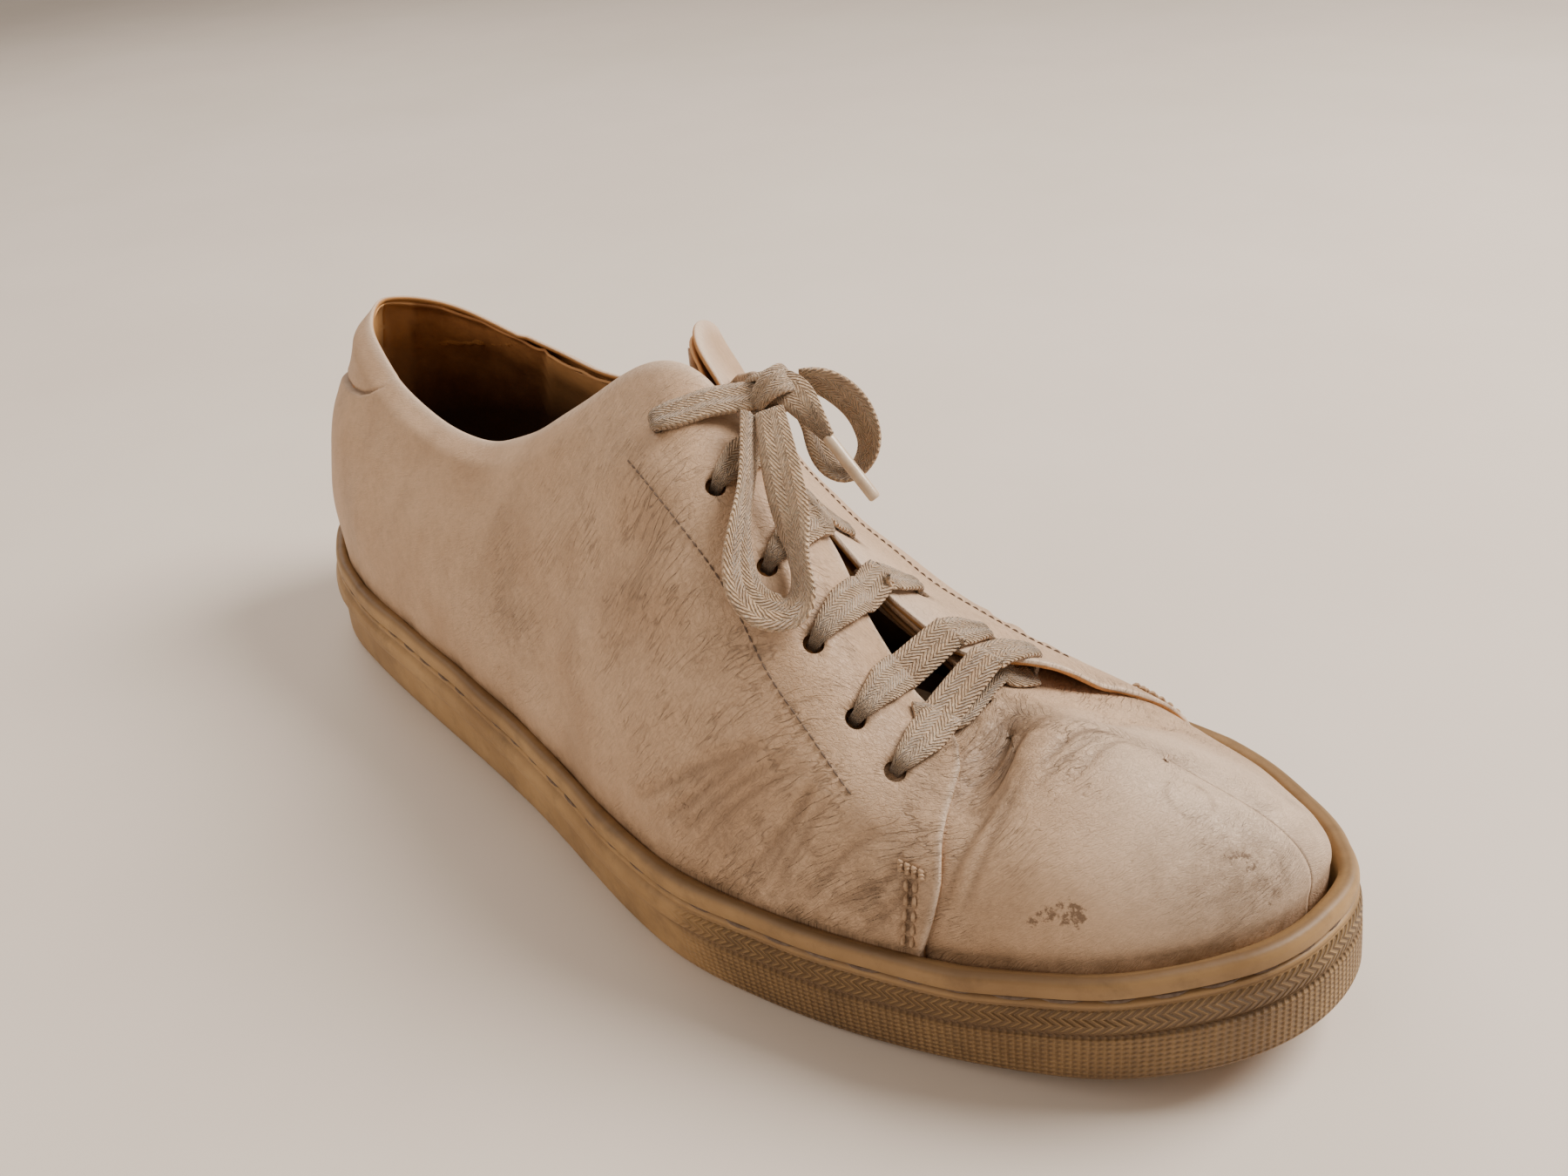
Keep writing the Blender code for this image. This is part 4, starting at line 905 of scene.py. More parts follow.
def set_camera():
    """The photograph's viewpoint."""
    azimuth, elevation, roll = (math.radians(a) for a in
                                (CAMERA_AZIMUTH, CAMERA_ELEVATION, CAMERA_ROLL))
    back = Vector((math.sin(azimuth) * math.cos(elevation),
                   -math.cos(azimuth) * math.cos(elevation), math.sin(elevation)))
    right = Vector((math.cos(azimuth), math.sin(azimuth), 0.0))
    up = back.cross(right)
    across = right * math.cos(roll) + up * math.sin(roll)
    upward = -right * math.sin(roll) + up * math.cos(roll)
    camera = place_object("camera", bpy.data.cameras.new("camera"))
    camera.data.lens = SENSOR_WIDTH * FOCAL_PIXELS / PHOTO_WIDTH
    camera.data.sensor_width = SENSOR_WIDTH
    camera.data.clip_start = 0.01
    turn = Matrix((across, upward, back)).transposed().to_4x4()
    turn.translation = Vector(CAMERA_PLACE) - Vector(SHIFT)
    camera.matrix_world = turn
    bpy.context.scene.camera = camera


def soft_light(name, place, size, power, colour):
    """A round lamp that looks at the shoe."""
    lamp = bpy.data.lights.new(name, "AREA")
    lamp.shape = "DISK"
    lamp.size = size
    lamp.energy = power
    lamp.color = colour
    made = place_object(name, lamp)
    made.location = place
    made.rotation_euler = (-Vector(place)).to_track_quat("-Z", "Y").to_euler()


def set_studio():
    """Three soft lamps, a warm world and a pale floor."""
    soft_light("key", (0.50, 0.72, 0.95), 0.8, 28.5, (1.0, 0.94, 0.88))
    soft_light("fill", (-0.35, -1.05, 0.80), 1.2, 7.5, (1.0, 0.86, 0.73))
    soft_light("back", (-0.90, 0.25, 0.80), 1.1, 5.0, (1.0, 0.94, 0.88))
    world = bpy.data.worlds.new("studio")
    bpy.context.scene.world = world
    world.use_nodes = True
    world.node_tree.nodes["Background"].inputs[0].default_value = (1.0, 0.86, 0.74, 1.0)
    world.node_tree.nodes["Background"].inputs[1].default_value = 0.32
    bpy.ops.mesh.primitive_plane_add(size=6.0, location=(0.0, 0.0, 0.0))
    floor = bpy.context.object
    floor.name = "floor"
    floor.data.materials.append(plain_finish("pale_floor", (0.74, 0.66, 0.58), (0.70, 0.62, 0.54),
                                             0.55, 6.0))


# Laces

def strap_mesh(name, centre, across, width, thickness, dirt_and_shade):
    """A flat lace: a rounded band along a line, its width direction given at each point."""
    centre = np.asarray(centre, float)
    tangent = unit(np.gradient(centre, axis=0))
    across = unit(across - tangent * np.sum(across * tangent, -1, keepdims=True))
    normal = np.cross(tangent, across)
    angles = np.linspace(0.0, 2.0 * math.pi, 20, endpoint=False)
    shape_x = np.sign(np.cos(angles)) * np.abs(np.cos(angles)) ** 0.75
    shape_y = np.sign(np.sin(angles)) * np.abs(np.sin(angles)) ** 0.6
    shape_y = shape_y * (1.0 - 0.22 * np.exp(-(shape_x / 0.22) ** 2))
    half_w = (np.asarray(width) / 2.0)[:, None, None]
    half_t = (np.asarray(thickness) / 2.0)[:, None, None]
    ring_points = (centre[:, None] + across[:, None] * half_w * shape_x[:, None]
                   + normal[:, None] * half_t * shape_y[:, None])
    points = ring_points.transpose(1, 0, 2)
    run = arc_length(centre)
    sideways = np.append(shape_x, shape_x[0]) * LACE_WIDTH / 2.0
    count = len(angles)
    length = len(centre)
    caps = end_caps(count, length)
    uv = closed_uv(run, sideways)[..., ::-1]
    mesh = lattice(name, points, uv, wrap_up=True, caps=caps)
    put_field(mesh, "dirt_and_shade", np.broadcast_to(dirt_and_shade, (count, length)))
    return weld(mesh)


def lace_piece(name, line, across, width, thick, dirt_and_shade, finish, nodes=()):
    mesh = strap_mesh(name, line, across, width, thick, dirt_and_shade)
    return finish_piece(name, mesh, finish, nodes)


def blend_along(values, count):
    """A few values spread evenly along a line, smoothly joined."""
    spline = natural_spline(np.asarray(values, float).reshape(len(values), -1))
    return read(spline, np.linspace(0.0, len(values) - 1.0, count))


def eyelet_frame(side, row, level):
    """Centre of an eyelet and its outward direction."""
    row, level = np.float64(row), np.float64(level)
    out = surface_normal(side, row, level)
    return surface(side, row, level) + out * flap_lift(side, row, level), out


def climb(side, start, crossing, steps=9):
    """Points over the upper from an eyelet to the throat's edge, and the width direction there."""
    row, level = start
    shares = np.linspace(0.0, 1.0, steps)
    rows = row + (crossing - row) * shares
    levels = level + (1.0 - level) * shares
    normal = surface_normal(side, rows, levels)
    lift = LACE_LIFT + flap_lift(side, rows, levels)
    points = surface(side, rows, levels) + normal * lift[:, None]
    along = unit(np.gradient(points, axis=0))
    return points, np.cross(normal, along)


def lace_run(name, near, far, crossing, nodes, finish):
    """One crossing: out of the near eyelet, over both edges of the throat, into the far eyelet."""
    halves = []
    for side, place, row in ((-1, near, crossing[0]), (1, far, crossing[1])):
        points, across = climb(side, place, row)
        hole, out = eyelet_frame(side, *place)
        lean = unit(points[2] - points[0]) * 0.0009
        dive = np.array([hole - out * 0.0046, hole + 0.5 * lean - out * 0.0020,
                         hole + lean + out * 0.0001])
        halves.append((np.concatenate([dive, points[1:]]),
                       np.concatenate([np.repeat(across[:1], 3, axis=0), across[1:]])))
    route = np.concatenate([halves[0][0], halves[1][0][::-1]])
    sideways = np.concatenate([halves[0][1], -halves[1][1][::-1]])
    count = 90
    line = read(natural_spline(route), np.linspace(0.0, len(route) - 1.0, count))
    across = read(natural_spline(sideways), np.linspace(0.0, len(route) - 1.0, count))
    at = np.linspace(0.0, len(route) - 1.0, count)
    from_end = np.minimum(at, len(route) - 1.0 - at)
    width = LACE_WIDTH * np.interp(from_end, *NARROWING)
    thick = LACE_THICKNESS * np.interp(from_end, *THICKENING)
    # Dirt and painted shade where the lace goes into its eyelets.
    dirt_and_shade = np.interp(from_end, *EYELET_DIRT_AND_SHADE)
    return lace_piece(name, line, across, width, thick, dirt_and_shade, finish, nodes)


def lace_to_knot(name, side, place, bulge, finish):
    """From the top eyelet of one side straight to the knot, folded on itself."""
    hole, out = eyelet_frame(side, *place)
    knot = np.array(KNOT_CENTRE)
    middle = (hole + knot) / 2.0 + out * bulge
    route = (hole - out * 0.0045, hole - out * 0.0015, hole + out * 0.0012,
             hole * 0.72 + knot * 0.28 + out * bulge * 0.8, middle,
             hole * 0.2 + knot * 0.8 + out * bulge * 0.5, knot)
    count = 70
    at = np.linspace(0.0, len(route) - 1.0, count)
    line = read(natural_spline(route), at)
    across = np.cross(out, knot - hole)
    across = np.repeat(across[None], count, axis=0)
    width = LACE_WIDTH * np.interp(at, (0.0, 1.5, 2.6, 5.0, 6.0), (0.42, 0.45, 0.92, 0.98, 0.7))
    thick = LACE_THICKNESS * np.interp(at, (0.0, 1.5, 3.0, 6.0), (1.9, 1.8, 1.3, 1.5))
    # Dirt and painted shade where the lace comes out of its eyelet.
    dirt_and_shade = np.interp(at, (0.0, 1.5, 3.0), (0.9, 0.6, 0.05))
    return lace_piece(name, line, across, width, thick, dirt_and_shade, finish)


def drawn_in(points, share):
    """A loop's route drawn in towards the knot by a share."""
    knot = np.array(KNOT_CENTRE)
    return knot + (np.array(points) - knot) * share


def free_strap(name, points, turns, widths, nodes, finish):
    """A loop or end of flat lace on its route, turned about it by angles from the upper's face."""
    line = smooth_route(points, 0.0012)
    count = len(line)
    tangent = unit(np.gradient(line, axis=0))
    out = unit(np.array((0.45, -0.62, 0.64)))
    flat = np.cross(np.repeat(out[None], count, axis=0), tangent)
    turn = np.radians(blend_along(turns, count))
    across = unit(flat) * np.cos(turn) + out * np.sin(turn)
    width = LACE_WIDTH * blend_along(widths, count)[:, 0]
    thick = np.full(count, LACE_THICKNESS)
    return lace_piece(name, line, across, width, thick, 0.04, finish, nodes), line - SHIFT


def under_bar(finish):
    """Lace that crosses low over the vamp, from under the near quarter to under the far flap."""
    halves = []
    for side, lift, places in UNDER_BAR:
        at = np.array(places).T
        halves.append(surface(side, *at) + surface_normal(side, *at) * lift)
    line = smooth_route(np.concatenate(halves), 0.0010)
    across = np.cross(np.array((0.25, -0.2, 1.0)), unit(np.gradient(line, axis=0)))
    count = len(line)
    width, thick = np.full(count, 0.0050), np.full(count, 0.0011)
    return lace_piece("lace_under", line, across, width, thick, 0.25, finish)


def knot_wrap(name, axis, across_axis, radius, start, turn, finish, nodes=()):
    """A turn of lace round the bow's middle: a band on an oval about an axis."""
    angles = np.radians(np.linspace(start, start + turn, 46))
    axis = unit(np.array(axis, float))
    first = unit(np.cross(axis, np.array(across_axis, float)))
    second = np.cross(axis, first)
    oval = (first * np.cos(angles)[:, None] * radius[0]
            + second * np.sin(angles)[:, None] * radius[1])
    drift = axis * np.linspace(-0.5, 0.5, len(angles))[:, None] * 0.0030
    line = np.array(KNOT_CENTRE) + oval + drift
    across = np.repeat(axis[None], len(angles), axis=0)
    width = LACE_WIDTH * blend_along((0.55, 0.85, 0.95, 0.85, 0.55), len(angles))[:, 0]
    thick = LACE_THICKNESS * blend_along((1.2, 1.15, 1.1, 1.15, 1.2), len(angles))[:, 0]
    return lace_piece(name, line, across, width, thick, 0.06, finish, nodes)


def aglet_piece(finish):
    """Film tip: a cylinder along its route, rounded at its ends."""
    start, end = (Vector(np.array(p) - SHIFT) for p in NEAR_AGLET)
    way = end - start
    bpy.ops.object.select_all(action="DESELECT")
    bpy.ops.mesh.primitive_cylinder_add(vertices=24, radius=AGLET_DIAMETER / 2.0,
                                        depth=way.length, location=(start + end) / 2.0,
                                        rotation=way.to_track_quat("Z", "Y").to_euler())
    piece = bpy.context.object
    piece.name = "lace_tip"
    bpy.ops.object.transform_apply(location=True, rotation=True, scale=True)
    soft = piece.modifiers.new("edge", "BEVEL")
    soft.width = AGLET_DIAMETER * 0.22
    soft.segments = 3
    soft.limit_method = "ANGLE"
    apply_modifiers(piece)
    return dress(piece, finish, ["lace_aglet"])


def make_laces():
    """Crossings, bow and ends, in the order in which they are tied."""
    cotton = lace_finish()
    film = plain_finish("aglet_film_worn", (0.72, 0.58, 0.42), (0.58, 0.43, 0.29), 0.30, 260.0,
                        Coat_Weight=0.4, Coat_Roughness=0.2)
    near, far = eyelet_rows(-1), eyelet_rows(1)
    lace_to_knot("lace_first_near", -1, near[0], 0.0024, cotton)
    lace_to_knot("lace_first_far", 1, far[0], 0.0024, cotton)
    for number in range(1, len(near)):
        nodes = ["lace_bar_%d" % (number + 1)] + (["lace_bar_1"] if number == 1 else [])
        lace_run("lace_crossing_%d" % (number + 1), near[number], far[number],
                 CROSSINGS[number], nodes, cotton)
    under_bar(cotton)
    slope = edge(1, 13.0) - edge(1, 12.0)
    knots = [
        knot_wrap("bow_wrap", slope, (0.0, 1.0, 0.0), (0.0052, 0.0040), 150.0, 300.0, cotton,
                  ["lace_knot"]),
        knot_wrap("bow_under", (0.25, 0.9, 0.1), (0.0, 0.0, 1.0), (0.0048, 0.0036), 20.0, 310.0,
                  cotton),
    ]
    end_piece, _ = free_strap("bow_end", NEAR_END, NEAR_END_TURNS, NEAR_END_WIDTHS,
                              ["lace_end"], cotton)
    tip = aglet_piece(film)
    near_loop, near_path = free_strap("bow_loop_near", NEAR_LOOP, NEAR_LOOP_TURNS,
                                      NEAR_LOOP_WIDTHS, ["lace_loop_near"], cotton)
    far_loop, far_path = free_strap("bow_loop_far", drawn_in(FAR_LOOP, FAR_LOOP_SHARE),
                                    FAR_LOOP_TURNS, FAR_LOOP_WIDTHS, ["lace_loop_far"], cotton)


# Sole

def perimeter_even(count):
    """Pairs of side and row once round the shoe, evenly spaced along the outline."""
    rows = np.linspace(0.0, LAST_ROW, 2000)
    lateral = outline(-1, rows)[0]
    medial = outline(1, rows)[0]
    loop = np.concatenate([lateral, medial[-2:0:-1]])
    sides = np.concatenate([np.full(len(rows), -1), np.full(len(rows) - 2, 1)])
    all_rows = np.concatenate([rows, rows[-2:0:-1]])
    run = arc_length(np.concatenate([loop, loop[:1]]))
    at = np.linspace(0.0, run[-1], count, endpoint=False)
    index = np.minimum(np.searchsorted(run[:-1], at, side="right") - 1, len(loop) - 1)
    return sides[index], all_rows[index], at, run[-1]


def sole_profile(heights):
    """Outset at each height share, forefoot and rear, with the steps' corners softened."""
    table = np.asarray(SIDE_STEPS)
    fine = np.linspace(0.0, 1.0, 1201)
    kernel = np.exp(-np.linspace(-2.0, 2.0, 13) ** 2)
    kernel /= kernel.sum()
    outsets = []
    for column in (1, 2):
        values = np.interp(fine, table[:, 0], table[:, column])
        padded = np.pad(values, 6, mode="edge")
        outsets.append(np.interp(heights, fine, np.convolve(padded, kernel, mode="valid")))
    return outsets


def make_sole():
    """Cup sole as rings from the tread up its side, over the lip and down to the footbed."""
    sides, rows, run, whole = perimeter_even(SOLE_COLUMNS)
    points, normals = np.empty((SOLE_COLUMNS, 2)), np.empty((SOLE_COLUMNS, 2))
    for side in (-1, 1):
        mine = sides == side
        points[mine], normals[mine] = outline(side, rows[mine])
    lean = top_inset(rows)
    heights = np.concatenate([np.linspace(0.0, 0.10, 14)[:-1], np.linspace(0.10, 0.44, 18)[:-1],
                              np.linspace(0.44, 1.0, 66)])
    fore, rear = sole_profile(heights)
    ribbed = np.clip((RIB_END + RIB_FADE - points[:, 0] / SOLE_LENGTH) / RIB_FADE, 0.0, 1.0)
    rings, v = [], []
    for inset, depth in ((TREAD_RIM + TREAD_BEVEL, 1.0), (TREAD_RIM, 0.0)):
        flat = points - normals * inset
        rings.append(np.c_[flat, spring(flat[:, 0]) + depth * arch(flat[:, 0])])
        v.append(-inset)
    wear = 0.00022 * np.sin(run * 97.0) + 0.00016 * np.sin(run * 231.0 + 1.0)
    for k, share in enumerate(heights):
        outset = LIP_THICKNESS * (fore[k] + (rear[k] - fore[k]) * ribbed)
        flat = points - normals * (lean * share - outset - wear * share)[:, None]
        low = spring(flat[:, 0])
        rings.append(np.c_[flat, low + (lip_height(flat[:, 0]) - low) * share])
        v.append(share * HEEL_LIFT)
    for height, drop in ((lip_height, 0.0006), (floor_height, 0.0)):
        flat = points - normals * (lean + LIP_THICKNESS)[:, None]
        rings.append(np.c_[flat, height(flat[:, 0]) - drop])
        v.append(v[-1] + 0.003)
    rings = np.array(rings)
    uv = closed_uv(np.append(run, whole), np.array(v))
    count = SOLE_COLUMNS
    last = (len(rings) - 1) * count
    mesh = lattice("sole_body", rings, uv, wrap_along=True,
                   caps=(tuple(range(count - 1, -1, -1)), tuple(last + i for i in range(count))))
    share = np.concatenate([[-1.0, -1.0], heights, [2.0, 2.0]])[:, None]
    fore_mask = np.clip((points[:, 0] / SOLE_LENGTH - RIB_END - 0.03) / 0.05, 0.0, 1.0)[None]
    chevron = ((share > 0.515) & (share < 0.725)) * fore_mask
    dotted = ((share > 0.03) & (share < 0.475)) * fore_mask
    scuffs = 0.5 + 0.5 * np.sin(run * 61.0 + 2.0 * np.sin(run * 23.0))[None]
    # Painted shade: the lateral side is darkened from about row 11.5 to the toe, where it faces away
    # from the light; this goes into the dirt field.
    forward = np.clip((rows - 11.5) / 3.0, 0.0, 1.0) * np.clip((22.0 - rows) / 2.0, 0.0, 1.0)
    dirt_and_shade = 0.06 + 0.26 * (sides < 0) * forward
    for strength, height, spread in SOLE_DIRT_AND_SHADE:
        dirt_and_shade = dirt_and_shade + strength * np.exp(-((share - height) / spread) ** 2)
    dirt_and_shade = dirt_and_shade + 0.35 * scuffs * np.exp(-((share - 0.02) / 0.10) ** 2)
    put_field(mesh, "chevron", np.broadcast_to(chevron, rings.shape[:2]))
    put_field(mesh, "dotted", np.broadcast_to(dotted, rings.shape[:2]))
    put_field(mesh, "dirt_and_shade", np.clip(np.broadcast_to(dirt_and_shade, rings.shape[:2]), 0.0, 0.9))
    gum = gum_finish()
    finish_piece("sole_body", mesh, gum, ["sole"])
    return sides, rows, run, whole


def capsules(name, starts, ends, outs, radius, finish):
    """Many short threads in one mesh: each a capsule arched a little out of its surface."""
    rings = 5
    around = 8
    shares = np.linspace(0.0, 1.0, rings)
    girth = np.sqrt(np.clip(1.0 - (2.0 * shares - 1.0) ** 4, 0.06, 1.0))
    angles = np.linspace(0.0, 2.0 * math.pi, around, endpoint=False)
    points, faces = [], []
    for start, end, out in zip(starts, ends, outs):
        way = unit(end - start)
        side = unit(np.cross(out, way))
        first = len(points)
        for share, girth_here in zip(shares, girth):
            lift = out * radius * (1.2 * math.sin(math.pi * share) - 0.4)
            centre = start + (end - start) * share + lift
            for a in angles:
                points.append(centre + (side * math.cos(a) + out * math.sin(a)) * radius * girth_here)
        for j in range(rings - 1):
            for i in range(around):
                a = first + j * around + i
                b = first + j * around + (i + 1) % around
                faces.append((a, b, b + around, a + around))
        faces.append(tuple(range(first + around - 1, first - 1, -1)))
        top = first + (rings - 1) * around
        faces.append(tuple(range(top, top + around)))
    mesh = bpy.data.meshes.new(name)
    mesh.from_pydata((np.array(points) - SHIFT).tolist(), [], faces)
    return finish_piece(name, weld(mesh), finish)


def make_sole_stitches(sides, rows, run, whole, thread):
    """Long thread stitches lying in the groove under the lip."""
    pitch, length, share = SOLE_STITCH
    starts, ends, outs = [], [], []
    for first in np.arange(0.0, whole - pitch, pitch):
        pair = []
        for at in (first, first + length):
            k = int(np.clip(np.searchsorted(run, at), 0, len(run) - 1))
            side, row = int(sides[k]), rows[k]
            point, normal = outline(side, row)
            flat = point - normal * (top_inset(row) * share + LIP_THICKNESS * 0.22)
            low = spring(flat[0])
            pair.append((np.array((*flat, low + (lip_height(flat[0]) - low) * share)),
                         np.array((*normal, 0.0))))
        starts.append(pair[0][0])
        ends.append(pair[1][0])
        outs.append(pair[0][1])
    capsules("sole_stitches", starts, ends, outs, 0.00042, thread)


# Upper

def even_rows(side, first, last, spacing, level=0.5):
    """Rows evenly spaced in metres along one level of the upper."""
    rows = np.linspace(first, last, ARC_SAMPLES * 2)
    run = arc_length(surface(side, rows, np.full(rows.shape, level)))
    count = int(run[-1] / spacing) + 1
    return np.interp(np.linspace(0.0, run[-1], count), run, rows)


def quarter_shift(side, row, level):
    """Rows by which the grid runs forward, so that its last line is the quarter's front edge."""
    levels, lateral, medial = zip(*QUARTER_FRONT)
    away = np.clip(np.abs(row - QUARTER_ROW) / QUARTER_SPREAD, 0.0, 1.0)
    forward = np.interp(level, levels, lateral if side < 0 else medial)
    return forward * np.cos(0.5 * math.pi * away) ** 2


def line_distance(points, line):
    """Distance of each point to a line of points, and its share along the line."""
    flat = points.reshape(-1, 3)
    best = np.full(len(flat), 1e9)
    share = np.zeros(len(flat))
    count = len(line) - 1
    for k in range(count):
        a, b = line[k], line[k + 1]
        way = b - a
        t = np.clip((flat - a) @ way / (way @ way), 0.0, 1.0)
        gap = np.linalg.norm(flat - a - t[:, None] * way, axis=1)
        nearer = gap < best
        best = np.where(nearer, gap, best)
        share = np.where(nearer, (k + t) / count, share)
    return best.reshape(points.shape[:-1]), share.reshape(points.shape[:-1])


def on_upper(side, line, count):
    """A given line of (row, level) as smooth points on the outer face."""
    pairs = np.asarray(line, float)
    at = read(natural_spline(pairs), np.linspace(0.0, len(pairs) - 1.0, count))
    return surface(side, at[:, 0], np.clip(at[:, 1], 0.0, 1.0))


CREASE_LINES = [(depth, width, on_upper(side, line, 14)) for side, depth, width, line in CREASES]
def point_on(side, row, level):
    return surface(side, np.float64(row), np.float64(level))


def placed(table):
    """Spots of a table at their places on the outer face."""
    return [(point_on(*row[:3]), *row[3:]) for row in table]


SMUDGE_SPOTS = placed(SMUDGES)
WRINKLE_SPOTS = placed(WRINKLED)
SCUFF_SPOTS = placed(SCUFFS)
RING_CENTRE = point_on(*RING_MARK)
# Centre of the painted highlight on the toe
TOE_HIGHLIGHT_CENTRE = point_on(-1, 21.5, 0.6)


def crease_relief(points):
    """Height of the creases and ridges at points of the upper, and how dark their bottoms are
    painted, with dirt and painted shade.
    """
    relief = np.zeros(points.shape[:-1])
    shade = np.zeros(points.shape[:-1])
    for depth, width, line in CREASE_LINES:
        gap, share = line_distance(points, line)
        taper = np.sin(math.pi * np.clip(0.08 + 0.84 * share, 0.0, 1.0)) ** 0.7
        soft = np.exp(-(gap / width) ** 2) * taper
        relief -= depth * soft
        # Dirt and painted shade: deep creases are darkened along their length, narrow ones along
        # their bottoms.
        if 0.003 < depth:
            shade += 0.60 * soft
        if 0.0 < depth and width < 0.002:
            relief += 0.45 * depth * np.exp(-((gap - 1.9 * width) / width) ** 2) * taper
            shade += 0.50 * np.exp(-(gap / (0.6 * width)) ** 2) * taper
    return relief, np.clip(shade, 0.0, 0.75)


def spots(points, places):
    """Sum of soft round spots at points, at most 1."""
    total = np.zeros(points.shape[:-1])
    for centre, radius, strength in places:
        total += strength * np.exp(-np.sum((points - centre) ** 2, -1) / radius ** 2)
    return np.clip(total, 0.0, 1.0)


def waviness(points):
    """Slow unevenness of slack leather, a few tenths of a millimetre."""
    x, y, z = (points[..., k] * 1000.0 for k in range(3))
    return 0.00016 * (np.sin(x / 4.1 + 1.3 * np.sin(z / 6.3)) + np.sin(z / 3.7 + y / 5.9 + 1.7))


def tab_relief(row, level, scale):
    """Step and groove of the heel tab, which lies a little under the panel below it, and the groove's
    mask for its painted shade.
    """
    seam = np.interp(row, *zip(*TAB_SEAM))
    over = (level - seam) * scale
    inside = np.clip((4.9 - row) / 0.2, 0.0, 1.0)
    groove = np.exp(-(over / 0.0008) ** 2)
    step = 1.0 / (1.0 + np.exp(-over / 0.0003))
    return inside * (-0.0007 * step - 0.0013 * groove), inside * groove


def leather_fields(points, level):
    """Relief of the leather at points, and the values that its finish reads there."""
    relief, shade = crease_relief(points)
    dirt_and_shade = spots(points, SMUDGE_SPOTS)
    low = np.exp(-(level / 0.045) ** 2)
    dirt_and_shade = np.clip(0.8 * dirt_and_shade + 0.5 * low, 0.0, 1.0)
    ring_gap = np.abs(np.linalg.norm(points - RING_CENTRE, axis=-1) - RING_RADIUS)
    dirt_and_shade = np.maximum(dirt_and_shade, 0.55 * np.exp(-(ring_gap / RING_LINE) ** 2))
    wrinkle = np.clip(0.18 + spots(points, WRINKLE_SPOTS), 0.0, 1.0)
    scuff = spots(points, SCUFF_SPOTS)
    fields = {"dirt_and_shade": dirt_and_shade, "crease": shade, "wrinkle": wrinkle, "scuff": scuff}
    return relief + waviness(points), fields


def section_ring(base, normal, relief, half, inner_of):
    """One closed section at each row: outer face up, rounded rim, inner face down."""
    middle = relief - QUARTER_LEATHER / 2.0
    outer = base + normal * (middle + half)[..., None]
    inner = base + normal * (middle - half)[..., None]
    top = unit(base[-1] - base[-3])
    angles = np.linspace(0.0, math.pi, RIM_STEPS + 2)[1:-1]
    centre = (outer[-1] + inner[-1]) / 2.0
    reach = np.linalg.norm(outer[-1] - inner[-1], axis=-1, keepdims=True) / 2.0
    out = unit(outer[-1] - inner[-1])
    rim = [centre + out * reach * math.cos(a) + top * reach * math.sin(a) for a in angles]
    return np.concatenate([outer, np.array(rim), inner[inner_of][::-1]])


def foot_points(side, rows, depth):
    """Foot of the upper's wall, down on the footbed."""
    flat = ring(side, rows, top_inset(rows) + LIP_THICKNESS + FIT_GAP + depth)
    return np.concatenate([flat, floor_height(flat[:, :1]) + FIT_GAP], -1)


